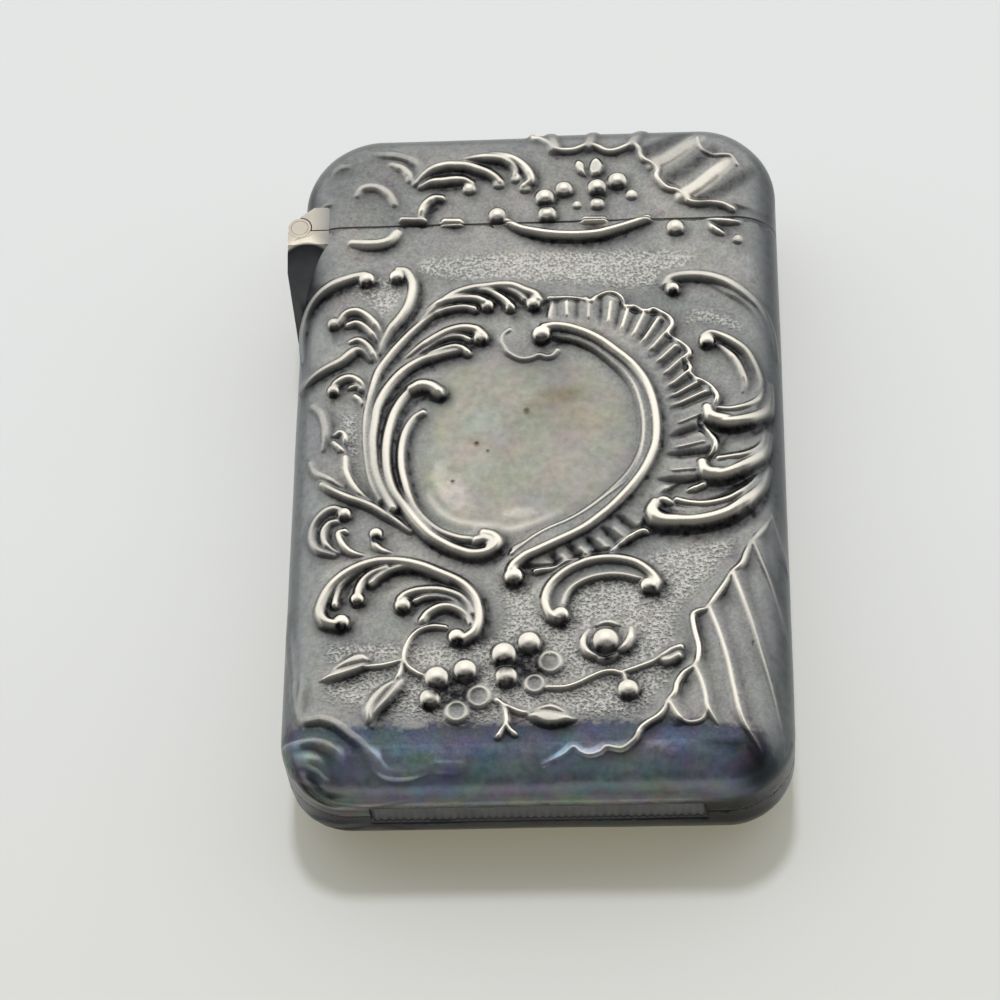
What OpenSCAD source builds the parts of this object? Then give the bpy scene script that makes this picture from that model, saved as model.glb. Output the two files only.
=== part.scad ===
// Silver vesta case with a hinged lid, lying on its back with the front up.
// X is the width with the hinge at -X, Y the length with the lid at +Y, Z the thickness.

/* [Case] */
// Width of the case without the hinge
case_w = 40; // [36:0.5:46]
// Length of the case from the striker end to the top of the lid
case_l = 62; // [56:0.5:70]
// Thickness between the plain grounds of the front and the back
field_t = 11.2; // [10.4:0.1:13]
// Radius of the rolled edge between the front or back and the sides
edge_r = 3.6; // [3:0.1:4]
// Plan radius of the two corners at the lid end
lid_corner_r = 6.6; // [5.5:0.1:7]
// Plan radius of the two corners at the striker end
base_corner_r = 5.4; // [4.6:0.1:6.5]
// Thickness of the silver sheet
sheet = 0.6; // [0.5:0.05:0.7]

/* [Lid] */
// Height of the lid above the parting line
lid_h = 10.5; // [10:0.1:14]
// Gap between lid and body at the parting line
lid_gap = 0.1; // [0.06:0.02:0.2]
// Thickness of the collar inside the mouth
collar_t = 0.5; // [0.4:0.05:0.7]
// How far the collar stands up into the lid
collar_rise = 3; // [2:0.1:3.2]
// How far the collar is let down into the body
collar_seat = 4; // [3:0.1:6]
// Clearance between the collar and the inside of the lid
collar_gap = 0.25; // [0.2:0.05:0.35]

/* [Relief] */
// Height of the raised scroll frame above the ground
relief_h = 0.6; // [0.4:0.05:0.8]
// Width of a scroll at its foot
scroll_w = 1.8; // [1.4:0.1:2.2]
// Width of the flat along the top of a scroll
scroll_land = 0.9; // [0.5:0.1:1.1]
// Diameter of the round knob that ends a scroll
knob_d = 2.4; // [2:0.1:3]
// Radius of the right-hand scroll
right_scroll_r = 7.8; // [6:0.1:9]
// Length of the straight tail of the right-hand scroll
right_tail_l = 12; // [8:0.5:13]
// Radius of the left-hand scroll
left_scroll_r = 7.8; // [6:0.1:9]
// Radius of the tall plume above the left-hand scroll
plume_r = 9.8; // [8:0.1:10.5]
// Width of the smaller scrolls as a share of the frame's
small_scroll = 0.75; // [0.6:0.05:0.9]
// Width of the horns as a share of the frame's scrolls
horn_share = 1.2; // [1:0.05:1.2]
// Height of the horns above the ground
horn_h = 0.9; // [0.6:0.05:1]
// Diameter of the beads that form the flowers
bead_d = 2; // [1.6:0.1:2.2]
// Diameter of the beads on the lid
lid_bead_d = 1.5; // [1.2:0.1:1.6]
// Width of the pleated shell border along the frame's right side
border_w = 3; // [2:0.1:3.5]
// Height of the shell border above the ground
border_h = 0.3; // [0.2:0.05:0.4]

/* [Hinge] */
// How far the hinge axis lies outside the case's side
hinge_out = 0.1; // [0.05:0.05:0.25]
// How far the hinge axis lies above the parting line
hinge_up = 0.3; // [0.1:0.05:0.4]
// Outside diameter of the hinge tube
knuckle_d = 1.9; // [1.8:0.05:2]
// Diameter of the hinge pin
pin_d = 1.4; // [1.2:0.05:1.45]
// Radial clearance between the pin and the tube
pin_gap = 0.03; // [0.02:0.01:0.06]
// Clearance between the moving lengths of tube and round them
knuckle_gap = 0.1; // [0.06:0.02:0.16]
// Solder gap round a tube in its own bearer
solder_gap = 0.02; // [0.01:0.01:0.04]
// How far each end of the hinge is set in from the front or back ground
hinge_inset = 0.2; // [0:0.1:1]
// Length of the middle knuckle, which the lid carries
lid_knuckle_l = 3.6; // [3:0.1:5]
// Height of the squared lip of the body's bearer below the parting line
lip_h = 1.4; // [1:0.1:2]
// Length of the body's bearer from the parting line to the end of its taper
body_bearer_l = 9.3; // [7:0.1:12]
// Thickness of the body's bearer at the end of its taper
bearer_end_t = 0.15; // [0.1:0.05:0.3]
// Height of the lid's bearer above the parting line
lid_bearer_h = 2.3; // [1.8:0.1:3]

/* [Striker] */
// Distance from the end of the striker to the start of the corner
striker_inset = 1.6; // [1:0.1:4]
// Silver left on each long side of the striker in the end band
striker_margin = 0.6; // [0.6:0.1:0.9]
// Depth of the rib crests under the end face
striker_sunk = 0.15; // [0.05:0.05:0.2]
// Clearance round the striker in its slot
striker_fit = 0.05; // [0.02:0.01:0.1]
// Spacing of the striking ribs
rib_pitch = 0.6; // [0.5:0.1:1.2]
// Depth of the grooves between the ribs
rib_depth = 0.1; // [0.1:0.05:0.2]
// Thickness of the seat plate inside the end wall
seat_t = 0.6; // [0.4:0.05:0.8]
// How far the seat plate laps past the slot
seat_lap = 0.4; // [0.2:0.05:0.5]

/* [Spring] */
// Thickness of the spring leaf
spring_t = 0.35; // [0.25:0.05:0.45]
// Length of the spring from its foot to its tip
spring_l = 16; // [13:0.5:24]
// Length of the foot that is riveted to the side wall
foot_l = 5; // [4.4:0.2:7]
// Length of the straight tip that the heel works on
tip_l = 3; // [2:0.2:5]
// Ground left on each side of the spring along the flat of the wall
spring_margin = 0.2; // [0.1:0.05:0.4]
// How far the spring's tip stays below the parting line
tip_drop = 0.4; // [0.3:0.1:1.5]
// Diameter of the rivet shanks
rivet_d = 1; // [0.8:0.05:1.1]
// Diameter of the rivet heads
rivet_head_d = 1.6; // [1.4:0.05:1.7]
// Height of the rivet heads
rivet_head_h = 0.3; // [0.2:0.05:0.4]
// Clearance of a rivet in its holes
rivet_fit = 0.02; // [0.01:0.01:0.04]
// Thickness of the lid's heel
heel_t = 0.8; // [0.6:0.05:1]
// How far the heel reaches below the parting line
heel_drop = 1.3; // [1:0.1:1.6]
// Height of the heel's seat inside the lid
heel_seat = 3.2; // [2.5:0.1:3.7]
// Clearance of the heel to the side wall, the collar and the spring
heel_gap = 0.2; // [0.15:0.05:0.3]

/* [Hidden] */
$fn = 72;

// The modules below work about the middle of the case, with Z = 0 on the joint of its two halves.
half_t = field_t / 2;
side_x = case_w / 2;
end_y = case_l / 2;
wall_x = side_x - sheet;
part_y = end_y - lid_h;
band_h = field_t - 2 * edge_r;
far = case_w + case_l + field_t;
root = sheet / 3;

// Hinge axis, barrel and where the case sits so that the whole part is centred
knuckle_r = knuckle_d / 2;
axis_x = -side_x - hinge_out;
hinge_l = field_t - 2 * hinge_inset;
body_knuckle_l = (hinge_l - lid_knuckle_l) / 2 - knuckle_gap;
axis_y = part_y + hinge_up;
bearer_left = axis_x - knuckle_r;
bearer_in_x = edge_r - side_x;
shift_x = (hinge_out + knuckle_r) / 2;
mid_z = half_t + relief_h;

// Striker slot in the end band, and the plate behind it
slot_l = case_w - 2 * base_corner_r - 2 * striker_inset;
slot_h = band_h - 2 * striker_margin;
striker_t = sheet - striker_sunk;
striker_l = slot_l - 2 * striker_fit;
rib_n = floor(striker_l / rib_pitch);

// Spring and heel on the hinge side
spring_w = band_h - 2 * spring_margin;
heel_in_x = -wall_x + heel_gap + heel_t;
heel_reach = sqrt(pow(heel_in_x - axis_x, 2) + pow(heel_drop + hinge_up, 2));
leaf_x = axis_x + heel_reach + heel_gap;
tip_y = part_y - tip_drop;
foot_y = tip_y - spring_l;
rivet_z = spring_w / 4;
rivet_y = [foot_y + foot_l / 4, foot_y + 3 * foot_l / 4];

// Scroll frame, as places on the ground of the front
right_c = [2.2, 1.6];
right_a = [-50, 100];
left_c = [-4, -2.4];
left_a = [128, 272];
plume_c = [-3.2, 4];
plume_a = [80, 188];

// The smaller ornament is laid out for a case of 40 by 62 mm and follows the width and length given;
// on the lid the second number is a height above the parting line
function laid(p) = [p[0] * case_w / 40, p[1] * case_l / 62];
function laid_on_lid(p) = [p[0] * case_w / 40, part_y + p[1] * lid_h / 10.5];
grown = min(case_w / 40, case_l / 62);

// Smaller scrolls of the front, each as the centre, radius and angles of an arc
front_arcs = [for (a = [
    [[5.2, -16.1], 4.4, [27, 170]], [[-12.2, -16.3], 4.7, [62, 180]], [[-8.9, -16.8], 4.35, [0, 100]],
    [[14.6, 5.1], 3.3, [45, 110]], [[-17.5, 13.7], 7, [-46, 10]], [[-15.2, -9], 1.8, [100, 260]],
    [[-5, -0.3], 8.3, [98, 215]], [[-6.2, 5.2], 4.6, [70, 155]], [[-14.9, 10.1], 5, [80, 114]],
    [[-15.1, 9.5], 2.3, [0, 130]], [[-15.3, 4.1], 1.35, [0, 160]]
]) [laid(a[0]), grown * a[1], a[2]]];
// Crescent along the parting line
crescent_r = 12.35 * grown;
crescent = [[3.3 * case_w / 40, part_y - 1.55 * grown + crescent_r], crescent_r, [253, 287]];
// Horns at the right of the shell border
horn_arcs = [for (a = [
    [[15.9, 4.1], 3.75, [237, 290]], [[14.6, -0.4], 4.05, [253, 304]], [[12.2, -2.7], 6, [240, 318]]
]) [laid(a[0]), grown * a[1], a[2]]];
// Flutes of the fan at the lower right corner and the long leaves on the left, from end to end
front_bars = [for (b = [
    [[15.4, -13.6], [16.4, -18.5]], [[13.6, -16.6], [15.2, -24.5]], [[12.3, -21.6], [13.3, -25.2]],
    [[-16.4, -4.8], [-10.2, -9]], [[-16.4, 6.8], [-14.6, 8.2]]
]) [laid(b[0]), laid(b[1])]];
// Petals of the two flowers, the rose, the bud, and the ends of the smaller scrolls
front_beads = [for (p = [
    [-2.4, -20.2], [-0.4, -19.3], [-2.2, -22.2], [-7.6, -22.1], [-5.4, -21.6], [-8.1, -24], [7.2, -23.4],
    [5.5, -19.3], [2, -16.7], [8.9, -14.3], [-15.2, -16.9], [-10.4, -15.6], [-6.1, -18.6], [-4.6, 8.9],
    [14, 8.1], [-14.3, 14.9], [-11.5, 15.2], [9.9, -7.5], [13.8, -4], [14.3, 1]
]) laid(p)];
// Ornament of the lid, given in the same way
lid_arcs = [for (a = [
    [[-6.8, 2.2], 3.8, [28, 152]], [[-3.4, 3.9], 2.5, [0, 80]]
]) [laid_on_lid(a[0]), grown * a[1], a[2]]];
lid_bars = [for (b = [
    [[9.8, 5.4], [12.2, 6.7]], [[11.8, 2.7], [14.4, 4.9]], [[13, 1.8], [16.2, 4.1]]
]) [laid_on_lid(b[0]), laid_on_lid(b[1])]];
lid_beads = [for (p = [
    [0.7, 1.1], [0.6, 2.6], [2.2, 3.3], [5, 3.4], [6.7, 3.9], [5, 1.7]
]) laid_on_lid(p)];

silver = "silver";
dark_silver = "darkgray";
steel = "slategray";

// Moves a piece from the middle of the case to its place in the part's frame
module in_place() {
    translate([shift_x, 0, mid_z]) children();
}

// A quarter of a disc, for the rolled edge
module quarter_disc(r) {
    intersection() {
        circle(r);
        square(r);
    }
}

// Half section of the case: flat to the start of the roll, then round to the flat side
module edge_section(reach, r, half) {
    translate([0, -half]) square([reach - r, 2 * half]);
    translate([reach - r, r - half]) square([r, 2 * (half - r)]);
    for (m = [0, 1])
        mirror([0, m]) translate([reach - r, half - r]) quarter_disc(r);
}

// One end of the cushion-shaped case, from the middle to Y > 0, grown by a distance
module end_half(grow, corner) {
    r = edge_r + grow;
    big_r = corner + grow;
    half = half_t + grow;
    run_x = side_x - corner;
    run_y = end_y - corner;
    translate([-run_x, 0, 0]) rotate([90, 0, 90])
        linear_extrude(2 * run_x) edge_section(end_y + grow, r, half);
    for (m = [0, 1]) mirror([m, 0, 0]) translate([run_x, run_y, 0]) {
        rotate([90, 0, 0]) linear_extrude(run_y) edge_section(big_r, r, half);
        rotate_extrude(angle = 90) edge_section(big_r, r, half);
    }
}

// The whole cushion shape, grown or shrunk by a distance
module cushion(grow) {
    end_half(grow, lid_corner_r);
    mirror([0, 1, 0]) end_half(grow, base_corner_r);
}

// Hollow shell of one half: above or below the parting line, cut at the middle of the thickness
module shell(y0, y1) {
    difference() {
        intersection() {
            cushion(0);
            translate([-far / 2, y0, 0]) cube([far, y1 - y0, far]);
        }
        cushion(-sheet);
        barrel_room();
    }
}

// Room that the case leaves round the hinge barrel
module barrel_room() {
    barrel(knuckle_r + knuckle_gap, -hinge_l / 2 - knuckle_gap, hinge_l / 2 + knuckle_gap);
}

// A length of the hinge barrel's axis as a plain cylinder
module barrel(r, z0, z1) {
    translate([axis_x, axis_y, z0]) cylinder(r = r, h = z1 - z0);
}

// Section of a scroll, standing on the ground with its foot let into the sheet
module scroll_section(share = 1, h = relief_h) {
    foot = share * scroll_w / 2;
    land = share * scroll_land / 2;
    polygon([[-foot, -root], [foot, -root], [foot, 0], [land, h], [-land, h], [-foot, 0]]);
}

// Scroll that follows an arc, from one angle to another
module scroll_arc(c, r, a, share = 1, h = relief_h) {
    translate(c) rotate([0, 0, a[0]]) rotate_extrude(angle = a[1] - a[0])
        translate([r, 0]) scroll_section(share, h);
}

// Straight scroll from one point to another
module scroll_bar(p, q, share = 1) {
    d = q - p;
    translate(p) rotate([90, 0, atan2(d[0], -d[1])]) linear_extrude(norm(d)) scroll_section(share);
}

// Round knob on the end of a scroll
module knob(p, d = knob_d) {
    translate([p[0], p[1], -root]) cylinder(d = d, h = root + relief_h);
}

// Smaller scrolls, bars and beads, standing on the ground of the front
module ornament(arcs, bars, beads, d) {
    translate([0, 0, half_t]) {
        for (a = arcs) scroll_arc(a[0], a[1], a[2], small_scroll);
        for (b = bars) scroll_bar(b[0], b[1], small_scroll);
        for (p = beads) knob(p, d);
    }
}

// Horns that curl out from the shell border towards the side
module horns() {
    translate([0, 0, half_t])
        for (a = horn_arcs) scroll_arc(a[0], a[1], a[2], horn_share, horn_h);
}

// Shell border outside the right-hand scroll, as a plain raised band
module shell_border() {
    translate([right_c[0], right_c[1], half_t - root]) rotate([0, 0, right_a[0] + 20])
        rotate_extrude(angle = right_a[1] - right_a[0] - 30)
            translate([right_scroll_r, 0]) square([border_w, root + border_h]);
}

// A point on an arc
function on_arc(c, r, a) = c + r * [cos(a), sin(a)];

// Raised scroll frame of the cartouche, standing on the ground of the front
module scroll_frame() {
    tail_start = on_arc(right_c, right_scroll_r, right_a[0]);
    tail_dir = [sin(right_a[0]), -cos(right_a[0])];
    translate([0, 0, half_t]) {
        scroll_arc(right_c, right_scroll_r, right_a);
        translate(tail_start) rotate([90, 0, right_a[0]]) linear_extrude(right_tail_l) scroll_section();
        scroll_arc(left_c, left_scroll_r, left_a);
        scroll_arc(plume_c, plume_r, plume_a);
        knob(on_arc(right_c, right_scroll_r, right_a[1]));
        knob(tail_start + right_tail_l * tail_dir);
        knob(on_arc(left_c, left_scroll_r, left_a[0]));
        knob(on_arc(left_c, left_scroll_r, left_a[1]));
        knob(on_arc(plume_c, plume_r, plume_a[0]));
    }
}

// Slot in the end band for the striker
module striker_slot() {
    translate([-slot_l / 2, -end_y - sheet, -slot_h / 2]) cube([slot_l, 3 * sheet, slot_h]);
}

// Holes through the hinge side for the spring's rivets
module rivet_shanks(r, x1) {
    for (i = [0, 1])
        translate([-side_x, rivet_y[i], rivet_z * (1 - 2 * i)]) rotate([0, 90, 0])
            cylinder(r = r, h = side_x + x1);
}

// Front half of the body with its scroll frame
module body_shell() {
    difference() {
        union() {
            shell(-far, part_y - lid_gap / 2);
            scroll_frame();
        }
        striker_slot();
    }
}

// Struck front half of the case
module body_front() {
    color(silver) in_place() difference() {
        union() {
            body_shell();
            ornament(concat(front_arcs, [crescent]), front_bars, front_beads, bead_d);
            horns();
            shell_border();
        }
        rivet_shanks(rivet_d / 2 + rivet_fit, 0);
    }
}

// Struck back half of the case; its scroll frame is what the case lies on
module body_back() {
    color(dark_silver) in_place() difference() {
        mirror([0, 0, 1]) body_shell();
        rivet_shanks(rivet_d / 2 + rivet_fit, 0);
    }
}

// Front half of the lid
module lid_front() {
    color(silver) in_place() union() {
        shell(part_y + lid_gap / 2, far);
        ornament(lid_arcs, lid_bars, lid_beads, lid_bead_d);
    }
}

// Back half of the lid
module lid_back() {
    color(dark_silver) in_place() mirror([0, 0, 1]) shell(part_y + lid_gap / 2, far);
}

// A slice of the cushion shape between two heights
module slice(grow, y0, y1) {
    intersection() {
        cushion(grow);
        translate([-far / 2, y0, -far / 2]) cube([far, y1 - y0, far]);
    }
}

// Collar: soldered to the body's wall below, stepped in to clear the lid above, open for the heel
module collar() {
    slot_w = spring_w + 2 * heel_gap;
    color("gainsboro") in_place() difference() {
        union() {
            slice(-sheet, part_y - collar_seat, part_y - lid_gap / 2);
            slice(-sheet - collar_gap, part_y - collar_seat, part_y + collar_rise);
        }
        cushion(-sheet - collar_gap - collar_t);
        barrel_room();
        translate([-far, -far / 2, -slot_w / 2]) cube([far, far, slot_w]);
    }
}

// Plate soldered inside the end wall, which the striker lies on
module striker_seat() {
    l = slot_l + 2 * seat_lap;
    h = slot_h + 2 * seat_lap;
    color("gainsboro") in_place()
        translate([-l / 2, sheet - end_y, -h / 2]) cube([l, seat_t, h]);
}

// Steel striker with ribs across it, let into the slot
module striker() {
    h = slot_h - 2 * striker_fit;
    ribs = [for (i = [0 : rib_n - 1], s = [0, 0.5])
        [(i + s - rib_n / 2) * rib_pitch, s == 0 ? rib_depth : 0]];
    outline = concat(
        [[-striker_l / 2, striker_t], [-striker_l / 2, rib_depth]],
        ribs,
        [[rib_n / 2 * rib_pitch, rib_depth], [striker_l / 2, rib_depth], [striker_l / 2, striker_t]]
    );
    color(steel) in_place() translate([0, striker_sunk - end_y, -h / 2])
        linear_extrude(h) polygon(outline);
}

// Outline of a bearer beside the barrel: a block that runs into the side of the case
module bearer_block(points) {
    translate([0, 0, -hinge_l / 2]) linear_extrude(hinge_l) polygon(points);
}

// Side view of the body's bearer: a squared lip, then a slope down to the side of the case
module bearer_slope() {
    z = hinge_l / 2;
    y = part_y - body_bearer_l;
    front = [[part_y, z], [part_y - lip_h, z], [part_y - 0.43 * body_bearer_l, 0.85 * z], [y, 0.48 * z]];
    back = [for (i = [3 : -1 : 0]) [front[i][0], -front[i][1]]];
    translate([-far, 0, 0]) rotate([90, 0, 90]) linear_extrude(far) polygon(concat(front, back));
}

// Bracket on the body under the hinge, hollowed for its own tubes and clear of the lid's
module body_bearer() {
    top = part_y - lid_gap / 2;
    low = part_y - body_bearer_l;
    color(silver) in_place() difference() {
        intersection() {
            bearer_block([
                [bearer_left, top], [bearer_in_x, top], [bearer_in_x, low], [-side_x - bearer_end_t, low],
                [bearer_left, part_y - 0.4 * body_bearer_l]
            ]);
            bearer_slope();
        }
        cushion(0);
        barrel(knuckle_r + solder_gap, -hinge_l, hinge_l);
        barrel(knuckle_r + knuckle_gap, -lid_knuckle_l / 2 - knuckle_gap, lid_knuckle_l / 2 + knuckle_gap);
    }
}

// Block on the lid above the hinge, hollowed for its own tube and clear of the body's
module lid_bearer() {
    low = part_y + lid_gap / 2;
    high = part_y + lid_bearer_h;
    color(silver) in_place() difference() {
        bearer_block([
            [axis_x, low], [bearer_in_x, low], [bearer_in_x, high], [axis_x + 0.5 * lid_bearer_h, high],
            [axis_x, part_y + 0.6 * lid_bearer_h]
        ]);
        cushion(0);
        barrel(knuckle_r + solder_gap, -hinge_l, hinge_l);
        for (m = [0, 1]) mirror([0, 0, m])
            barrel(knuckle_r + knuckle_gap, lid_knuckle_l / 2, hinge_l);
    }
}

// A length of hinge tube
module tube(z0, z1) {
    difference() {
        barrel(knuckle_r, z0, z1);
        barrel(pin_d / 2 + pin_gap, z0 - 1, z1 + 1);
    }
}

// Front length of tube, soldered to the body's bearer
module body_knuckle_front() {
    color("wheat") in_place() tube(hinge_l / 2 - body_knuckle_l, hinge_l / 2);
}

// Back length of tube, soldered to the body's bearer
module body_knuckle_back() {
    color("wheat") in_place() tube(-hinge_l / 2, body_knuckle_l - hinge_l / 2);
}

// Middle length of tube, soldered to the lid's bearer
module lid_knuckle() {
    color("khaki") in_place() tube(-lid_knuckle_l / 2, lid_knuckle_l / 2);
}

// Pin through the three lengths of tube, flush with its ends
module hinge_pin() {
    color("dimgray") in_place() barrel(pin_d / 2, -hinge_l / 2, hinge_l / 2);
}

// Leaf spring inside the hinge side, drawn where the heel pushes it furthest
module lid_spring() {
    wall = -wall_x;
    color(steel) in_place() difference() {
        translate([0, 0, -spring_w / 2]) linear_extrude(spring_w) polygon([
            [wall, foot_y], [wall, foot_y + foot_l], [leaf_x, tip_y - tip_l], [leaf_x, tip_y],
            [leaf_x + spring_t, tip_y], [leaf_x + spring_t, tip_y - tip_l],
            [wall + spring_t, foot_y + foot_l], [wall + spring_t, foot_y]
        ]);
        rivet_shanks(rivet_d / 2 + rivet_fit, 0);
    }
}

// Two rivets through the side wall and the spring's foot
module spring_rivets() {
    color("dimgray") in_place() {
        rivet_shanks(rivet_d / 2, spring_t - wall_x);
        for (i = [0, 1])
            translate([spring_t - wall_x, rivet_y[i], rivet_z * (1 - 2 * i)]) rotate([0, 90, 0])
                cylinder(d = rivet_head_d, h = rivet_head_h);
    }
}

// Tongue inside the lid that turns behind the spring's tip
module lid_heel() {
    low = part_y + lid_gap / 2;
    color("gainsboro") in_place() difference() {
        translate([0, 0, -spring_w / 2]) linear_extrude(spring_w) polygon([
            [-wall_x, low + heel_seat], [-wall_x, low], [-wall_x + heel_gap, low],
            [-wall_x + heel_gap, part_y - heel_drop], [heel_in_x, part_y - heel_drop],
            [heel_in_x, low + heel_seat]
        ]);
        barrel_room();
    }
}

body_front();
body_back();
collar();
striker_seat();
striker();
body_bearer();
body_knuckle_front();
body_knuckle_back();
hinge_pin();
lid_spring();
spring_rivets();
lid_front();
lid_back();
lid_bearer();
lid_knuckle();
lid_heel();
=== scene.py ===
import math
import bmesh
import bpy
import numpy as np
from mathutils import Matrix, Vector


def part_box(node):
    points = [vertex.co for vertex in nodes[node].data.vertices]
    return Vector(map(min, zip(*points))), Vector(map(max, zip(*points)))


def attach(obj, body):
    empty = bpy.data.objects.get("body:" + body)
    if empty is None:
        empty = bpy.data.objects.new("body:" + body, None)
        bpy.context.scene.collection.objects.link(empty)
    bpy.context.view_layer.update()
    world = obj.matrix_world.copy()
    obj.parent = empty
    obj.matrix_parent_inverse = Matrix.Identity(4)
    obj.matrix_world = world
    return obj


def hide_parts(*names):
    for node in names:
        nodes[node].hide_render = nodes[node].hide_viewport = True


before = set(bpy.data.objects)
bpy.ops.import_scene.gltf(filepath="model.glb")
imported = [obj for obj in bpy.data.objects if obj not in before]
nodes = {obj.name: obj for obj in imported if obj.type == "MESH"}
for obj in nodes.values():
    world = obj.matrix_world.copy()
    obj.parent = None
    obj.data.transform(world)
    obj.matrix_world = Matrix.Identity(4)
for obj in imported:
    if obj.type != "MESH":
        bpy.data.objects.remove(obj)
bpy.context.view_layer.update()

# Struck front of the case
# The front half is thin silver sheet struck in a die: a cushion with rolled edges and rococo scrolls
# in relief. It is soldered to the back along the middle of the sides, and its mouth takes the collar.
MM = 0.001
front_lo, front_hi = (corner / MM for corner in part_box("body_front"))
lid_lo, lid_hi = (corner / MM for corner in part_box("lid_front"))
middle_x = (front_lo.x + front_hi.x) / 2
joint_z = front_lo.z
side_x = (front_hi.x - front_lo.x) / 2
base_y = -front_lo.y
mouth_y = front_hi.y
lid_foot_y = lid_lo.y
top_y = lid_hi.y
half_t = 5.6
edge_r = 3.6
lid_corner_r = 6.6
base_corner_r = 5.4
sheet = 0.6
roll_l = edge_r * math.pi / 2
unrolled = roll_l + half_t - edge_r

# The ground is laid out flat, in millimetres from the middle of the case, and the relief drawn on it.
cell = 0.1
half_u = round((side_x - edge_r + unrolled) / cell) * cell
across = np.arange(-half_u, half_u + cell / 2, cell)
below = round((mouth_y + base_y - edge_r + unrolled) / cell)
above = round((top_y - edge_r + unrolled - lid_foot_y) / cell)
along = np.concatenate([
    mouth_y + cell * np.arange(-below, 1),
    lid_foot_y + cell * np.arange(above + 1),
])
relief = np.zeros((len(along), len(across)))
cuts = np.zeros_like(relief)
matted = np.zeros_like(relief)
# Painted highlights and painted shadows, laid out like the relief.
painted_highlight = np.zeros_like(relief)
shadow_marks = np.zeros_like(relief)

# Points are where a crest shows from above and in front, so its foot lies this much nearer per height.
lean = 0.57


# Four profiles of a punch mark give its height by the distance q, 0 at its middle and 1 at its edge.
def struck(q):
    """A small round top with soft feet."""
    t = np.clip((q - 0.12) / 0.88, 0, 1)
    return 1 - t * t * (3 - 2 * t)


def domed(q):
    """A full dome, steep at its edge."""
    t = np.clip((q - 0.6) / 0.4, 0, 1)
    return (1 - 0.2 * q * q) * (1 - t * t)


def flat_topped(q):
    """A flat top with straight, steep sides."""
    return np.clip((1 - q) * 3, 0, 1)


def keen(q):
    """A sharp top with hollow sides."""
    return (1 - q) ** 1.7


def drawn(points, step=0.05):
    """A smooth line through the points, as closely spaced places."""
    p = np.array(points, float)
    p = np.vstack([2 * p[0] - p[1], p, 2 * p[-1] - p[-2]])
    line = []
    for a, b, c, d in zip(p[:-3], p[1:-2], p[2:-1], p[3:]):
        n = max(2, int(np.hypot(*(c - b)) / step))
        t = np.linspace(0, 1, n, endpoint=False)[:, None]
        line.append(b + 0.5 * t * (c - a + t * (2 * a - 5 * b + 4 * c - d + t * (3 * (b - c) + d - a))))
    line.append(p[-2:-1])
    return np.vstack(line)


def press(field, x, y, reach, height, profile):
    """Presses one round punch mark up into a field."""
    i0, i1 = np.searchsorted(across, (x - reach, x + reach))
    j0, j1 = np.searchsorted(along, (y - reach, y + reach))
    if i0 == i1 or j0 == j1:
        return
    q = np.hypot(across[i0:i1][None] - x, along[j0:j1][:, None] - y) / reach
    patch = field[j0:j1, i0:i1]
    np.maximum(patch, height * profile(np.clip(q, 0, 1)), out=patch)


def ridge(points, half, height, start=1.0, end=1.0, profile=struck, field=relief):
    """A raised line, half its width at half its height; start and end thin or swell its two ends.

    The metal draws in towards it more gently on the far side and the left."""
    line = drawn(points)
    swell = np.interp(np.linspace(0, 1, len(line)), (0, 0.3, 0.7, 1), (start, 1, 1, end))
    for (x, y), k in zip(line, swell):
        foot = y - lean * height * k
        press(field, x, foot, 1.7 * half * (0.4 + 0.6 * k), height * k, profile)
        if profile is struck and field is relief:
            press(field, x - 0.5 * half, foot + 0.7 * half, 2.4 * half * k, 0.5 * height * k, keen)


def ridges(strokes, **ends):
    """Several raised lines, each as its points, half width and height."""
    for points, half, height in strokes:
        ridge(points, half, height, **ends)


def bead(x, y, r, height):
    """A round bead or knob, by the radius of its painted highlight on top, with a painted shadow below
    it.
    """
    foot = y - lean * height
    press(relief, x, foot, 1.3 * r, height, domed)
    press(painted_highlight, x, foot + 0.25 * r, 0.95 * r, 0.9, struck)
    press(shadow_marks, x + 0.1 * r, foot - r, 1.1 * r, np.clip(5 * height - 1, 0, 0.9), flat_topped)


def pad(points, height, soft=0.3, field=relief):
    """A raised patch inside a closed line, with soft edges."""
    line = drawn(list(points) + [points[0]], 0.12)
    line[:, 1] -= lean * height
    i0, i1 = np.searchsorted(across, (line[:, 0].min(), line[:, 0].max()))
    j0, j1 = np.searchsorted(along, (line[:, 1].min(), line[:, 1].max()))
    x, y = np.meshgrid(across[i0:i1], along[j0:j1])
    inside = np.zeros(x.shape, bool)
    near = np.full(x.shape, 1e9)
    for (ax, ay), (bx, by) in zip(line, np.roll(line, -1, axis=0)):
        near = np.minimum(near, np.hypot(x - ax, y - ay))
        if ay != by:
            inside ^= ((y < ay) != (y < by)) & (x < ax + (bx - ax) * (y - ay) / (by - ay))
    patch = field[j0:j1, i0:i1]
    np.maximum(patch, height * np.where(inside, np.clip(near / soft, 0, 1), 0), out=patch)


# Frame of the cartouche: the double scroll down its right side
right_frame = [
    (0.6, 10.2), (1.5, 10.35), (2.5, 10.2), (3.5, 9.85), (4.5, 9.35), (5.5, 8.65), (6.5, 7.75), (7.3, 7),
    (8, 6.2), (8.8, 4.9), (9.3, 3.5), (9.6, 2), (9.7, 0.5), (9.6, -1), (9.2, -2.3), (8.6, -3.6),
    (7.8, -4.8), (7, -5.8), (6, -6.9), (5, -7.8), (4, -8.6), (3, -9.2), (2, -9.7), (1, -10.2), (0, -10.7),
    (-0.8, -11.1), (-1.6, -11.8), (-1.9, -12.3),
]
right_inner = [
    (1.3, 9.4), (3, 9), (4.5, 8.3), (5.5, 7.6), (6.6, 6.5), (7.8, 4.7), (8.4, 3), (8.7, 1), (8.6, -1),
    (8.2, -2.8), (7.4, -4.4), (5.5, -6), (4, -7.2), (2.5, -8.1), (1.2, -8.7), (0, -9.4), (-1, -10.2),
    (-1.9, -11),
]
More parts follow.
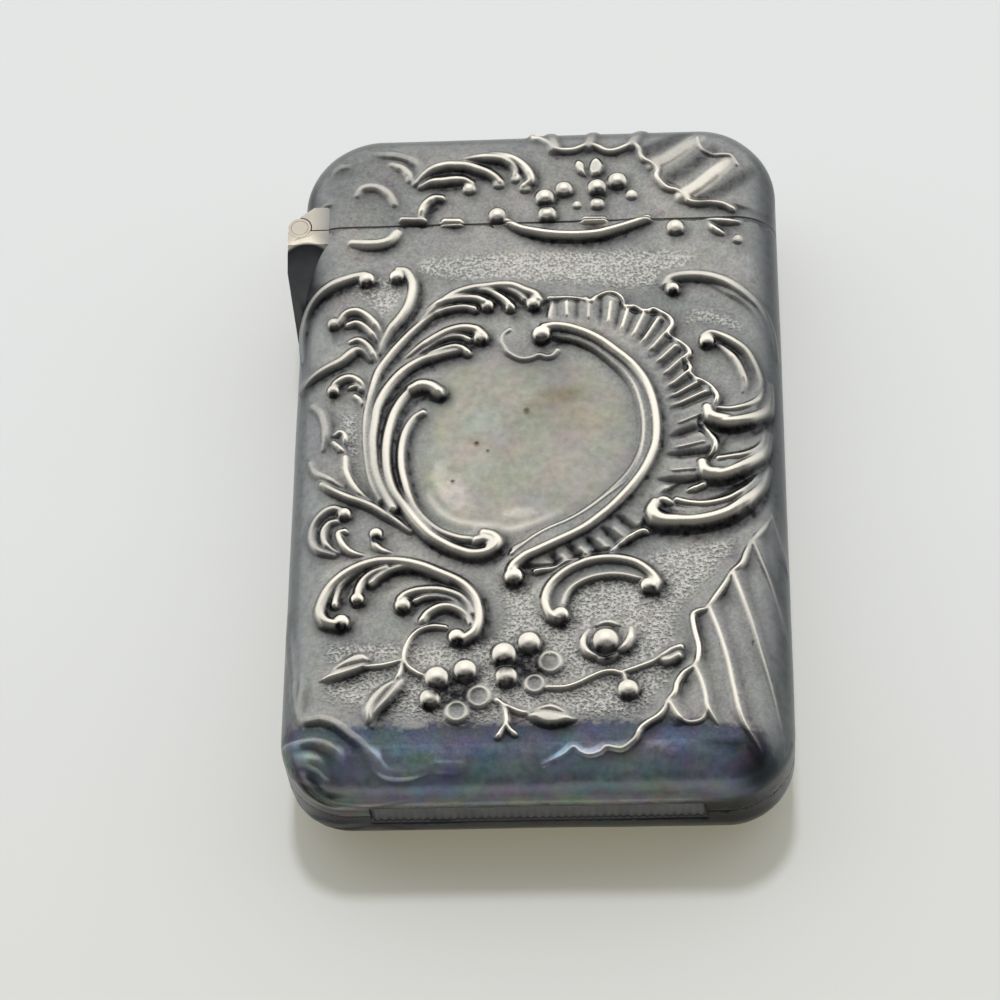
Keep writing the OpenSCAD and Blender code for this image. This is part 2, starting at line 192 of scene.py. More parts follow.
right_band = [
    (1, 9.8), (3, 9.5), (5, 8.5), (7.1, 6.5), (8.3, 4.8), (8.9, 3), (9.2, 1), (9.1, -1), (8.6, -2.8),
    (7.6, -4.5), (5.9, -6.3), (4.2, -7.7), (2.3, -9), (0.5, -9.9), (-1.2, -10.9),
]
ridge(right_band, 0.56, 0.32, profile=flat_topped)
ridge(right_inner, 0.2, 0.4, start=0.4)
ridge(right_frame, 0.46, 0.72)
bead(0.4, 9.6, 0.72, 0.76)
bead(-1.7, -12.9, 0.7, 0.7)

# Left side of the frame: long strands that rise from the foot volute and end in plumes
strands = [
    ([(-6.2, 8.2), (-7.2, 8), (-8.3, 7.7), (-9.5, 7.3), (-11, 6.2), (-12.2, 4.6), (-12.9, 3),
      (-13.1, 1.5), (-13.2, 0), (-13.1, -1.5), (-12.9, -3), (-12.3, -4.8), (-11.4, -6.5)], 0.45, 0.6),
    ([(-7, 12.6), (-8.8, 11.5), (-10, 10.4), (-11.2, 9), (-12.2, 7.6), (-13, 6.2), (-13.5, 4.2),
      (-13.8, 2), (-13.8, 0), (-13.6, -2), (-13.2, -4), (-12.4, -5.8)], 0.34, 0.42),
    ([(-8.7, 5), (-9.8, 4.8), (-10.8, 3.8), (-11.5, 2.5), (-11.9, 1), (-12.1, -0.5), (-12.1, -2),
      (-11.9, -3.5), (-11.4, -5), (-10.4, -6.5), (-9.4, -7.9), (-8.3, -9.1), (-7, -10), (-6, -10.5),
      (-5, -10.8), (-4, -10.7), (-3.3, -10.3), (-3, -9.7), (-3.4, -9.2), (-4.1, -9)], 0.46, 0.62),
    ([(-9.2, 2.3), (-9.9, 1.8), (-10.5, 0.8), (-10.8, -0.3), (-10.9, -1.6), (-10.8, -3), (-10.5, -4.3),
      (-10.2, -5.4), (-9.7, -6.6), (-8.7, -7.9), (-7.6, -8.8), (-6.2, -9.4), (-5, -9.6)], 0.36, 0.45),
]
ridges(strands, start=0.6)
ridge([(-10.2, 4.6), (-9.4, 5), (-8.6, 4.85), (-8, 4.4)], 0.55, 0.7, start=0.8)
ridge([(-4.6, -9.6), (-4, -9.5), (-3.5, -9.8), (-3.6, -10.3)], 0.5, 0.62)

# Plumes over the frame's left shoulder
plumes = [
    ([(-10, 10.6), (-8.6, 12.2), (-7, 13.6), (-5.5, 14.2), (-4, 14.4), (-3, 14.5), (-2, 14.4),
      (-1, 13.9), (-0.2, 13.5), (0.1, 13)], 0.42, 0.55),
    ([(-4.4, 14.3), (-3, 14.2), (-2, 13.8), (-1.4, 13.4), (-1, 13)], 0.32, 0.42),
    ([(-6, 14), (-5, 14), (-4, 13.9), (-3.2, 13.4), (-2.6, 12.9), (-2.2, 12.4)], 0.34, 0.5),
    ([(-9.4, 11.8), (-8, 12.9), (-7, 13.2), (-6, 13.3), (-5, 13.2), (-4.4, 12.9)], 0.4, 0.55),
    ([(-9.2, 11.2), (-8, 12), (-7, 12.3), (-6, 12.4), (-5.2, 12.2)], 0.3, 0.4),
    ([(-10.8, 7.4), (-9.4, 8.7), (-8, 9.7), (-7, 10.2), (-6, 10.4), (-5, 10.2), (-4.5, 9.7)], 0.42, 0.55),
    ([(-10.4, 7.2), (-9.2, 8.2), (-8, 9.1), (-7, 9.5), (-6.2, 9.5), (-5.6, 9.2)], 0.28, 0.4),
    ([(-9.8, 6.9), (-8.6, 7.9), (-7, 8.5), (-6.2, 8.4), (-5.7, 8)], 0.32, 0.45),
]
ridges(plumes, start=0.3)
bead(-0.3, 12.6, 0.56, 0.5)
bead(-4.1, 12.5, 0.5, 0.45)
bead(-4.6, 9.4, 0.58, 0.5)
bead(-2.2, 12.2, 0.4, 0.4)

# Thin scalloped edges inside the top and the foot of the cartouche
ridge([(-2.2, 10), (-2.7, 9.6), (-2.9, 9), (-2.6, 8.3), (-2.3, 7.8), (-1.6, 7.3), (-1, 7.15),
       (-0.4, 7.25), (0.2, 7.5), (0.8, 7.3), (1.3, 7.4), (1.7, 7.9)], 0.22, 0.2)
pad([(-2.2, 10), (-2.9, 9), (-2.3, 7.8), (-1, 7.2), (0.2, 7.5), (1.3, 7.4), (1.7, 8.2), (0.6, 9.6)], 0.1)
ridge([(-8, -6.2), (-7.3, -7.2), (-6, -7.8), (-4.5, -7.9), (-3, -7.9), (-2.2, -8.5), (-1.4, -8.5),
       (0.3, -7.9), (1.5, -7.6)], 0.5, 0.06)

# Pleated shell border round the frame's right side
shell_edges = [
    [(1, 13), (2.3, 13), (3.5, 12.9), (4.3, 12.6), (4.9, 13), (5.8, 13.4), (6.5, 13.3), (7, 12.8),
     (7.2, 12), (8, 12), (8.9, 11.5), (9.6, 11.7), (10.3, 11.3), (10.9, 10.8), (11.1, 10.2), (10.7, 9.2),
     (11.2, 8.8), (12.2, 7.9), (12.5, 7.3), (12.1, 6.8), (12.5, 6), (12.4, 5.3), (13.3, 4.7), (14, 4.2),
     (14.5, 3.5), (14.6, 2.7), (14.2, 2.2)],
    [(13.3, 0.6), (13.9, -0.3), (14.4, -1.1), (14.4, -1.8), (13.9, -2.3)],
    [(8.8, -9.2), (8.2, -9.2), (7.6, -9.5), (7, -10.1), (6.5, -10.4), (6, -11)],
    [(3.3, -11.5), (2.7, -11.7), (2, -12), (1.3, -12.4), (0.5, -12.5), (0, -12.6)],
]
pad([(1, 12.9), (3.5, 12.8), (4.3, 12.5), (5.8, 13.3), (7, 12.7), (7.2, 11.9), (8.9, 11.4), (10.2, 11.2),
     (11, 10.2), (10.7, 9.2), (12.2, 7.8), (12.1, 6.8), (12.4, 5.3), (14, 4.1), (14.5, 2.7), (13.2, 0.6),
     (14.3, -1.2), (13.9, -2.3), (13.2, -4.6), (10.6, -5.6), (8.2, -9.1), (6, -10.9), (4.2, -11.2),
     (0.5, -12.4), (-1, -11.4), (4, -8.4), (8, -4.4), (9.6, 0.5), (8.6, 5), (5, 9.2), (1, 10.4)], 0.32)
for points in shell_edges:
    ridge(points, 0.2, 0.4)
grooves = [
    [(1.6, 12.6), (1.7, 10.9)], [(3.3, 12.6), (3.3, 10.6)], [(5.3, 12.7), (5.2, 10.2)],
    [(6.9, 12.2), (6.4, 9.6)], [(8.1, 11.5), (7.2, 8.9)], [(9.6, 11.2), (8.9, 9.6), (8, 8.2)],
    [(10.3, 10.2), (8.6, 7.7)], [(11, 8.7), (9.2, 6.7)], [(11.7, 7.4), (9.8, 5.6)],
    [(12.2, 6.4), (10.3, 4.4)], [(12.7, 4.9), (10.6, 3.4)], [(13.3, 4), (10.7, 2.6)],
    [(14.1, 3.2), (10.9, 1.7)], [(13.3, 0.1), (10.8, -0.9)], [(13.7, -2.3), (10.6, -2.6)],
    [(12.8, -4.9), (9.8, -4.9)], [(7.6, -9.1), (6.6, -8.2)], [(6.3, -10.2), (5.4, -9.2)],
    [(4.8, -10.9), (4.1, -10.1)], [(3.2, -11.4), (2.7, -10.8)], [(1.6, -11.9), (1.3, -11.5)],
]
for points in grooves:
    ridge(points, 0.42, 0.26, start=1.1, end=0.4, profile=keen, field=cuts)
for k in (*range(15), *range(16, 20)):
    one, two = grooves[k:k + 2]
    ends = [((a + c) / 2, (b + d) / 2) for (a, b), (c, d) in ((one[0], two[0]), (one[-1], two[-1]))]
    half, height = (0.18, 0.46) if k < 15 else (0.34, 0.36)
    ridge(ends, half, height, end=0.5)
lips = [
    [(4, 12.9), (4.4, 12.55), (4.9, 12.95)], [(7.1, 12.3), (7.4, 12), (8, 12)],
    [(8.6, 11.6), (9, 11.5), (9.4, 11.65)], [(10.9, 9.9), (10.7, 9.3), (11, 8.9)],
    [(12.4, 7.3), (12.1, 6.85), (12.4, 6.4)], [(12.4, 5.5), (12.9, 4.95), (13.6, 4.5)],
    [(14.2, 4), (14.6, 3.2), (14.4, 2.4)], [(13.9, -0.3), (14.4, -1.2), (14.1, -2.1)],
    [(8.6, -9.1), (7.8, -9.4), (7, -10.1)],
]
for points in lips:
    ridge(points, 0.24, 0.5, start=0.7, end=0.7)

# Scrolls and horns on the right, which run over the rolled edge
right_scrolls = [
    ([(10.7, 14.2), (11, 14.7), (11.8, 14.95), (13, 15), (14.3, 14.8), (15.5, 14.3), (16.5, 13.6),
      (17.3, 12.9), (18.3, 12), (19.2, 10.8), (20, 9.3), (20.4, 7.6)], 0.46, 0.38, 0.9),
    ([(14.5, 13.9), (15.5, 13.3), (16.5, 12.7), (17.3, 12), (18.2, 11), (19, 9.6)], 0.34, 0.16, 0.3),
    ([(13.6, 8.9), (14.2, 9.25), (15, 9), (16, 8.4), (17, 7.5), (17.7, 6.2), (18.1, 5), (18.1, 4.2),
      (17.7, 3.2), (16.9, 2.4)], 0.38, 0.5, 0.8),
    ([(14.8, 8), (15.4, 7.5), (16.1, 6.7), (16.6, 5.6), (16.9, 4.4), (16.7, 3.4)], 0.3, 0.35, 0.4),
    ([(14, 1.4), (14.6, 0.95), (15.5, 0.8), (16.5, 0.95), (17.5, 1.4), (18.5, 2.2), (19, 3.2),
      (19.2, 4.6)], 0.55, 0.95, 0.8),
    ([(14.6, 2), (15.8, 1.9), (17, 2.3), (18, 3.2), (18.5, 4.4)], 0.34, 0.7, 0.6),
    ([(13.5, -3.4), (13.8, -3.9), (14.5, -4.05), (15.5, -3.8), (16.5, -3.3), (17.5, -2.5), (18.4, -1.5),
      (18.9, -0.2)], 0.55, 0.95, 0.8),
    ([(14.6, -2.7), (15.4, -2.6), (16.5, -2.4), (17.4, -1.9), (18.1, -1.1), (18.5, 0)], 0.34, 0.7, 0.7),
    ([(12.2, -5.6), (12.9, -5.2), (13.8, -4.9)], 0.26, 0.4, 0.5),
    ([(9.3, -7.1), (9.7, -7.7), (10.5, -8.05), (12, -8.2), (13.5, -8.05), (15, -7.6), (16, -7),
      (17, -6.1), (18, -4.9), (18.7, -3.4)], 0.6, 1, 0.8),
    ([(11.2, -6.4), (12.2, -6.7), (13.5, -6.8), (15, -6.5), (16, -6), (17, -5.2), (17.9, -4.1)],
      0.36, 0.75, 0.7),
    ([(10.6, -7.2), (12, -7.5), (13.6, -7.5), (15.2, -7.1), (16.6, -6.2)], 0.6, 0.55, 0.5),
    ([(14.4, -3.3), (15.6, -3.2), (16.8, -2.8), (17.8, -2)], 0.6, 0.5, 0.5),
    ([(14.9, 1.5), (16, 1.4), (17.2, 1.8), (18.2, 2.7)], 0.6, 0.5, 0.5),
]
for points, half, height, start in right_scrolls:
    ridge(points, half, height, start=start, end=0.3)
bead(11.2, 13.7, 0.5, 0.42)
bead(13.9, 8.5, 0.58, 0.5)
horn_tips = [
    ([(13.8, 2.1), (14, 1.5), (14.6, 1.15), (15.6, 1)], 0.62, 0.9),
    ([(13.3, -3), (13.5, -3.6), (14.1, -3.9), (15, -3.85)], 0.62, 0.9),
    ([(9.5, -6.6), (9.2, -7.3), (9.8, -7.95), (11, -8.15), (12.5, -8.15)], 0.66, 0.95),
    ([(9.6, -6.5), (10.2, -6.35), (10.8, -6.7)], 0.4, 0.7),
]
ridges(horn_tips, start=0.8, end=0.7)

# Scrolls, curls and leaves on the left
left_curls = [
    ([(-14.4, 15.8), (-15.4, 15.6), (-17, 15), (-18.6, 14), (-19.8, 12.6), (-20.4, 10.8), (-20.3, 8.6)],
      0.5, 0.5),
    ([(-11.6, 16.2), (-10.9, 16), (-10.4, 15), (-10.4, 13.8), (-10.7, 12.6), (-11.3, 11.5), (-12, 10.5),
      (-12.6, 9.2), (-12.9, 8)], 0.45, 0.5),
    ([(-16.4, 11.2), (-15.9, 12), (-15.2, 12.3), (-14.5, 12.1), (-13.7, 11.4), (-13.1, 10.5),
      (-12.8, 9.3)], 0.36, 0.45),
    ([(-15.6, 10.9), (-14.9, 11.1), (-14.2, 10.7), (-13.5, 9.9), (-13.1, 9)], 0.3, 0.4),
    ([(-15.3, 9.2), (-14.7, 9.4), (-14, 8.9), (-13.4, 8), (-13.1, 7)], 0.32, 0.4),
    ([(-20, 5.6), (-18.6, 6.2), (-17, 6.9), (-16, 7.5), (-15, 8.4), (-14.3, 8.3), (-13.6, 7.4)],
      0.42, 0.45),
    ([(-16.7, 4.6), (-16.4, 5.3), (-15.6, 5.8), (-14.9, 5.7), (-14.3, 5.1), (-14, 4.2)], 0.34, 0.42),
    ([(-15.2, 4.8), (-14.6, 4.9), (-14.1, 4.2)], 0.24, 0.32),
    ([(-14.8, 4), (-14.3, 3.5), (-14, 2.8)], 0.24, 0.3),
    ([(-18.4, 3.4), (-17.6, 2.6), (-17.2, 1.4), (-17.1, 0.2), (-17.3, -1)], 0.4, 0.3),
    ([(-16.3, 0.3), (-15.9, 0.6), (-15.5, 0.2), (-15.5, -0.7)], 0.24, 0.3),
    ([(-16.4, -0.4), (-15.9, -0.9), (-15.5, -1.4)], 0.24, 0.3),
    ([(-15.4, -1.8), (-15.3, -3), (-14.8, -4.2), (-14, -5.3), (-13, -6.2)], 0.3, 0.34),
    ([(-18.4, -2), (-17.8, -3), (-16.8, -3.7), (-15.6, -4.6)], 0.34, 0.3),
    ([(-17.2, -4.2), (-16.2, -4.9), (-15, -5.5), (-14, -5.9), (-13, -6.4), (-12, -7.1), (-11, -7.9),
      (-10, -8.8)], 0.34, 0.4),
    ([(-15.4, -6.8), (-16.2, -6.5), (-17, -6.9), (-17.7, -7.8), (-17.9, -8.9), (-17.6, -9.8),
      (-17, -10.4), (-16, -10.8)], 0.36, 0.42),
    ([(-15.9, -7.7), (-16.5, -7.9), (-16.9, -8.6), (-16.8, -9.5), (-16.3, -10.2), (-15.7, -10.6)],
      0.28, 0.38),
    ([(-15.2, -8.6), (-15.7, -8.8), (-15.5, -9.5), (-15, -10.2), (-14.3, -10.7), (-13.3, -11)], 0.3, 0.4),
    ([(-12.9, -9.2), (-12.8, -9.8), (-12.2, -10.4), (-11.3, -10.8)], 0.32, 0.42),
]
ridges(left_curls, start=0.8, end=0.4)
bead(-14.2, 15.4, 0.6, 0.45)
bead(-11.7, 15.6, 0.56, 0.5)
bead(-16.8, 11.1, 0.5, 0.36)
bead(-16.6, 4.6, 0.45, 0.4)
bead(-15.3, -7.0, 0.5, 0.4)
bead(-12.7, -8.9, 0.5, 0.42)

# Plume and scroll under the cartouche
lower_scrolls = [
    ([(-15.4, -16.9), (-16.4, -16.6), (-16.9, -15.8), (-16.7, -14.7), (-16.2, -13.6), (-15.4, -12.7),
      (-14.4, -12), (-13.2, -11.5), (-12, -11.3), (-10.5, -11.4), (-9, -11.8), (-7.7, -12.4),
      (-6, -13.3), (-5, -14.3), (-4.5, -15.4), (-4.4, -16.8), (-4.8, -17.8), (-5.6, -18.4)], 0.44, 0.6),
    ([(-15.8, -15.2), (-15.7, -14.5), (-15.4, -13.6), (-14.7, -12.8), (-13.8, -12.1)], 0.3, 0.42),
    ([(-14, -14.6), (-13.9, -13.8), (-13.5, -13), (-12.8, -12.4), (-11.8, -12)], 0.36, 0.5),
    ([(-12.9, -13.3), (-12.4, -12.8), (-11.5, -12.2), (-10.3, -11.9), (-9.2, -12.1), (-8, -12.6),
      (-6.8, -13.3)], 0.34, 0.45),
    ([(-10.6, -14.8), (-10.2, -14.4), (-9.4, -14.1), (-8.4, -14), (-7.3, -14.1), (-6, -14.6),
      (-5.3, -15.3), (-4.9, -16.2)], 0.38, 0.52),
    ([(-9.4, -15), (-8.6, -14.7), (-7.5, -14.7), (-6.4, -15.1), (-5.6, -15.9)], 0.28, 0.38),
    ([(-8.8, -16.7), (-8.4, -16.1), (-7.6, -15.6), (-6.8, -15.5), (-6, -15.8), (-5.3, -16.4),
      (-5, -17.1)], 0.36, 0.5),
    ([(1.9, -16.8), (1.2, -16.4), (0.85, -15.6), (0.8, -14.8), (1.2, -13.8), (2, -12.9), (3, -12.2),
      (4.2, -11.7), (5.5, -11.5), (6.8, -11.6), (8, -12), (9, -12.8), (9.5, -13.6), (9.3, -14.2)],
      0.42, 0.58),
    ([(2.1, -15.7), (2.4, -14.8), (3, -14), (4, -13.4), (5, -13.1), (6, -13), (7, -13.1), (8.4, -13.5)],
      0.26, 0.34),
]
ridge([(1.5, -15.6), (1.7, -14.6), (2.5, -13.5), (3.6, -12.8), (5.2, -12.4), (6.8, -12.5), (8.3, -13)],
       0.6, 0.24, profile=flat_topped)
ridges(lower_scrolls)
bead(-15.2, -16.7, 0.6, 0.52)
bead(-14.0, -14.7, 0.5, 0.5)
bead(-10.4, -15.3, 0.6, 0.5)
bead(-6.1, -18.2, 0.62, 0.55)
bead(2.0, -16.4, 0.6, 0.55)
bead(8.9, -14.0, 0.62, 0.55)

# Flowers, buds and leaves on thin stems
flower_beads = [
    (-2.4, -19.75, 0.98), (-0.45, -18.8, 0.9), (-2.2, -21.7, 0.85), (-7.6, -21.7, 0.95),
    (-5.4, -21.1, 0.9), (-8.1, -23.5, 0.8), (7.2, -23, 0.8), (5.5, -18.75, 1.05),
]
for x, y, r in flower_beads:
    bead(x, y, 0.92 * r, 0.55 * r)
petals = [
    (0, -22.5, 0.85), (1.2, -20.65, 1), (-6, -24.75, 0.95), (-4.3, -23.5, 1),
]
for x, y, r in petals:
    press(relief, x, y - 0.14, 1.2 * r, 0.26, flat_topped)
    press(cuts, x, y - 0.14, 0.8 * r, 0.1, flat_topped)
rose_petals = [
    ([(4.2, -18), (3.8, -18.6), (3.8, -19.3), (4.2, -19.9), (4.9, -20.3)], 0.34, 0.42),
    ([(4.7, -17.6), (5.6, -17.3), (6.4, -17.5)], 0.26, 0.26),
    ([(7.5, -17.9), (7.4, -18.6), (7, -19.3), (6.5, -19.8)], 0.36, 0.44),
    ([(4.6, -20.2), (5.5, -20.5), (6.4, -20.1)], 0.28, 0.36),
]
ridges(rose_petals, start=0.5, end=0.6)
ridge([(9.5, -20.5), (10.1, -20.1), (10.7, -19.7), (11.3, -19.5)], 0.3, 0.45, start=0.6)
ridge([(9.7, -20.6), (10.4, -20.6), (11.1, -20.2)], 0.36, 0.42, start=0.6)
stems = [
    [(1, -22.8), (2.3, -22.8), (3.3, -22.5), (4.3, -22), (5.2, -21.6), (6, -21.5), (6.8, -21.8),
     (7.1, -22.5)],
    [(6.6, -21.7), (8, -21.2), (9, -20.8), (9.9, -20.3)],
    [(-7, -17.4), (-8, -17.3), (-9, -17.6), (-9.7, -18.3), (-10.1, -19.2), (-10.2, -20), (-9.9, -20.7),
     (-9.2, -21.3), (-8.4, -21.7)],
    [(-13.2, -20.7), (-11.8, -20.6), (-10.2, -20.2)],
    [(-10.9, -22.2), (-10.5, -21.4), (-10.2, -20.2)],
    [(-2.9, -23.8), (-2.4, -24.3), (-2.2, -25), (-2.2, -25.8), (-2.8, -26.9)],
    [(-2.2, -25.8), (-1.9, -26.3), (-1.5, -26.7)],
    [(-2.4, -24.2), (-1.2, -24.8), (-0.4, -25)],
]
for points in stems:
    ridge(points, 0.2, 0.32)
leaves = [
    ([(-17, -21.8), (-16.2, -20.9), (-15.1, -19.9), (-14, -19.3), (-13.1, -19.4), (-12.6, -20.2),
      (-13.3, -21.1), (-14.6, -21.7), (-15.9, -22)], [(-16.6, -21.6), (-14.8, -20.9), (-12.9, -20.4)]),
    ([(-12.4, -26.1), (-13.1, -25.4), (-13.4, -24.3), (-13, -23.2), (-12.1, -22.2), (-10.9, -21.6),
      (-10, -21.7), (-10.2, -22.7), (-10.9, -23.8), (-11.9, -24.9)], [(-12.6, -25.7), (-12.2, -24.2),
      (-10.6, -22.1)]),
    ([(-0.9, -25), (0, -24.3), (1.2, -23.9), (2.2, -24.3), (3.3, -25.4), (2.2, -26.1), (0.9, -26.2),
      (-0.2, -25.7)], [(-0.6, -25.1), (1, -24.9), (2.9, -25.4)]),
]
for outline, vein in leaves:
    pad(outline, 0.4, 0.5)
    ridge(vein, 0.2, 0.16, profile=keen, field=cuts)

# Fluted shell that spreads over the lower right corner
pad([(18.8, -7.6), (17.7, -9.4), (17, -10.4), (16.2, -12.3), (15.4, -13.1), (14.3, -14.9), (13.4, -16.2),
     (12.3, -16.8), (12.4, -18), (12.7, -19.5), (12.3, -21.2), (11, -22.6), (10.3, -24.1), (9.5, -25.4),
     (8.1, -26.5), (6.8, -28), (5, -28.3), (3, -27.9), (0.6, -29.3), (4, -31.5), (16, -32), (21.5, -28),
     (22.5, -16), (21.5, -9)], 0.16, 2.5)
ridge([(18.8, -7.6), (18.2, -8.7), (17.7, -9.4), (17, -10.4), (16.6, -11.3), (16.2, -12.3),
       (15.4, -13.1), (14.9, -14), (14.3, -14.9), (13.4, -16.2), (12.8, -16.4), (12.3, -16.8),
       (12.4, -18), (12.7, -19.5), (12.6, -20.6), (12.3, -21.2), (11.5, -21.8), (11, -22.6),
       (10.8, -23.4), (10.3, -24.1), (10, -24.8), (9.5, -25.4), (8.6, -26), (8.1, -26.5), (7.7, -27.3),
       (6.8, -28), (6.2, -28), (5.5, -27.9), (5, -28.3), (4.2, -28.5), (3.5, -28.3), (3, -27.9),
       (2.4, -28.4), (1.5, -28.9), (0.6, -29.3)], 0.26, 0.42, end=0.3)
flutes = [
    [(18.8, -7.6), (19.5, -9.5), (20.8, -12.4)],
    [(17.1, -10.4), (17.7, -12), (18.5, -14), (19.3, -16.2), (20.2, -18.6)],
    [(15.5, -13.2), (16.1, -15), (16.8, -17.5), (17.4, -20), (18.2, -23), (18.8, -25.4), (19.6, -28.4)],
    [(13.6, -16.2), (14.3, -18.3), (14.9, -20.7), (15.3, -23), (15.9, -25.8), (17.3, -28.5)],
    [(12.4, -21.3), (12.8, -22.3), (13.1, -23.5), (13.3, -24.8), (14.1, -26.4)],
    [(10.4, -24.3), (10.9, -25.2), (11.5, -26)],
]
for points in flutes:
    ridge(points, 0.95, 0.4, end=0.4, profile=keen)
    ridge(points, 0.24, 0.48, end=0.4)
ridge([(10.4, -24.3), (10.9, -25.2), (11.4, -25.8), (12, -26), (12.8, -25.8), (13.3, -25)], 0.24, 0.34)

# Waves over the lower left corner
waves = [
    ([(-19.2, -21), (-19.2, -22), (-18.9, -23.2), (-18.2, -24.8), (-17.5, -25.1), (-16.5, -25.1),
      (-15.5, -25.4), (-14.7, -26), (-14, -26.6), (-13.3, -27.2), (-12.5, -28.2), (-12, -29),
      (-11.3, -29.6), (-10.3, -29.8), (-9.2, -29.7), (-8.5, -29.5)], 0.32, 0.32),
    ([(-18.3, -21.5), (-18.2, -22.3), (-18.4, -23.3), (-18.2, -24.4)], 0.26, 0.24),
    ([(-19.8, -27), (-18.5, -26.9), (-17.3, -26.9), (-16.3, -27.2), (-15.4, -27.8), (-14.8, -28.8)],
      0.32, 0.3),
    ([(-20.4, -28.4), (-19, -28.3), (-17.6, -28.4), (-16.6, -28.9), (-16, -29.8)], 0.32, 0.28),
    ([(-20.6, -29.6), (-19.2, -29.6), (-18, -29.9), (-17.2, -30.6)], 0.3, 0.25),
    ([(-8, -29.2), (-5.5, -29.3)], 0.3, 0.2),
    ([(-19.7, -28.8), (-19.2, -30.4), (-18.4, -31.7), (-17.2, -32.6), (-15.5, -33.2), (-13.4, -33.6)],
      0.3, 0.3),
    ([(-18, -31), (-17.2, -31.8), (-16, -32.3), (-14.4, -32.6), (-12.2, -32.6), (-10, -32.2)],
      0.26, 0.24),
    ([(-20.6, -15), (-20.2, -17.5), (-19.6, -19.5), (-19.2, -21)], 0.4, 0.25),
]
for points, half, height in waves:
    ridge(points, 1.5 * half, 0.75 * height, start=0.5, end=0.4)
# Painted shade in the hollows between the waves.
wave_shadows = [
    [(-19.1, -27.9), (-18.8, -29.3), (-18.2, -30.6), (-17.2, -31.7), (-15.8, -32.3), (-14, -32.7)],
    [(-17.6, -29.5), (-17.2, -30.4), (-16.3, -31.1), (-14.8, -31.5)],
]
for points in wave_shadows:
    ridge(points, 0.24, 0.8, start=0.5, end=0.4, profile=flat_topped, field=shadow_marks)

# Marks along the parting line, and the ornament of the lid, which was struck with the front
lid_marks = [
    ([(-2.6, 20.9), (-1.5, 20.2), (0, 19.75), (1.5, 19.45), (3.2, 19.35), (5, 19.45), (6.5, 19.85),
      (7.7, 20.25), (9.2, 20.8)], 0.42, 0.7),
    ([(14.3, 20.4), (15.5, 20.3), (16.8, 20.1)], 0.26, 0.35),
    ([(14.3, 20), (14.8, 19.5), (15.4, 19)], 0.26, 0.35),
    ([(-15.6, 19.1), (-13.8, 18.95), (-12.8, 19.1), (-12.2, 19.5), (-11.8, 20)], 0.45, 0.4),
    ([(-10.3, 25), (-9.6, 25.9), (-8.8, 26.5), (-7.8, 26.8), (-7, 26.8), (-6, 26.7), (-5, 26.3),
      (-4.2, 25.9), (-3.6, 25.4), (-3.2, 24.9)], 0.44, 0.55),
    ([(-6.2, 27.3), (-5, 27.5), (-4, 27.5), (-3, 27.3), (-2.3, 26.8), (-1.9, 26.1), (-1.9, 25.5)],
      0.4, 0.5),
    ([(-4, 27.8), (-3, 27.6), (-2, 27.2), (-1.2, 26.5), (-0.7, 25.7), (-0.6, 25), (-1.2, 24.4)],
      0.42, 0.55),
    ([(-9.9, 24.6), (-9, 25.1), (-8, 25.2), (-7, 25.3), (-6.2, 25.2), (-5.6, 24.8)], 0.38, 0.5),
    ([(-9.8, 21.2), (-9.8, 22), (-9.5, 22.8), (-8.8, 23.4), (-8.1, 23.4)], 0.38, 0.5),
    ([(-15.3, 23.9), (-14.9, 24.6), (-14.2, 24.8), (-13.4, 24.6), (-12.6, 23.9), (-12.1, 22.9)],
      0.4, 0.24),
    ([(-12.5, 27), (-11.6, 26.6), (-11, 25.9), (-10.9, 25.3)], 0.36, 0.24),
    ([(-14, 28.2), (-12.4, 28), (-11, 27.5), (-10.2, 26.8), (-9.9, 25.8)], 0.45, 0.22),
    ([(-17.6, 26.4), (-17, 27), (-16.2, 27)], 0.4, 0.2),
    ([(-18.8, 22.6), (-18.2, 23.2), (-17.6, 23.2)], 0.36, 0.2),
]
ridges(lid_marks, start=0.5, end=0.6)
lid_beads = [
    (0.6, 23.2, 0.82), (0.8, 21.5, 0.78), (2.2, 24, 0.75), (5, 24.1, 0.82), (6.7, 24.7, 0.82),
    (5, 22.4, 0.6), (7.9, 23.2, 0.5), (11.5, 19.8, 0.75), (-3.4, 21.5, 0.75), (16.7, 18.4, 0.45),
    (-5.8, 24.3, 0.6), (-3.3, 24.7, 0.5), (-1.8, 25.2, 0.5), (-1.1, 24.2, 0.5), (3.3, 22.3, 0.4),
]
for x, y, r in lid_beads:
    bead(x, y, 0.88 * r, 0.45 * r)
# Painted highlights on these two marks and on three of the lid's scrolls.
for points in ([(-7.8, 21.0), (-6.6, 20.95)], [(4.0, 20.8), (5.5, 20.75)]):
    ridge(points, 0.34, 0.4)
    ridge(points, 0.3, 0.8, profile=flat_topped, field=painted_highlight)
for k in (3, 9, 10):
    ridge(lid_marks[k][0], 0.3, 0.6, profile=flat_topped, field=painted_highlight)
pad([(4.6, 25), (4.2, 25.8), (4.4, 26.8), (5, 27.2), (5.6, 26.4), (5.3, 25.4)], 0.34, 0.3)
pad([(4.2, 25.1), (3.4, 25.5), (3, 26.3), (3.3, 27), (4, 26.6), (4.1, 25.8)], 0.3, 0.3)
ridge([(-11.4, 21.3), (-9.6, 21.2)], 0.28, 0.35)
pad([(-0.5, 30), (0.8, 29), (1.3, 28.3), (3, 28), (4.3, 28.6), (5.8, 27.8), (7.6, 28.3), (8.6, 27.9),
     (9, 26.8), (10.1, 25.7), (10.3, 24.5), (11.7, 23.5), (12.7, 22.4), (14.5, 22.2), (16.3, 21.5),
     (20, 21.4), (21.5, 24), (20, 28), (16, 32.5), (8, 33.5), (1, 33)], 0.16, 0.4)
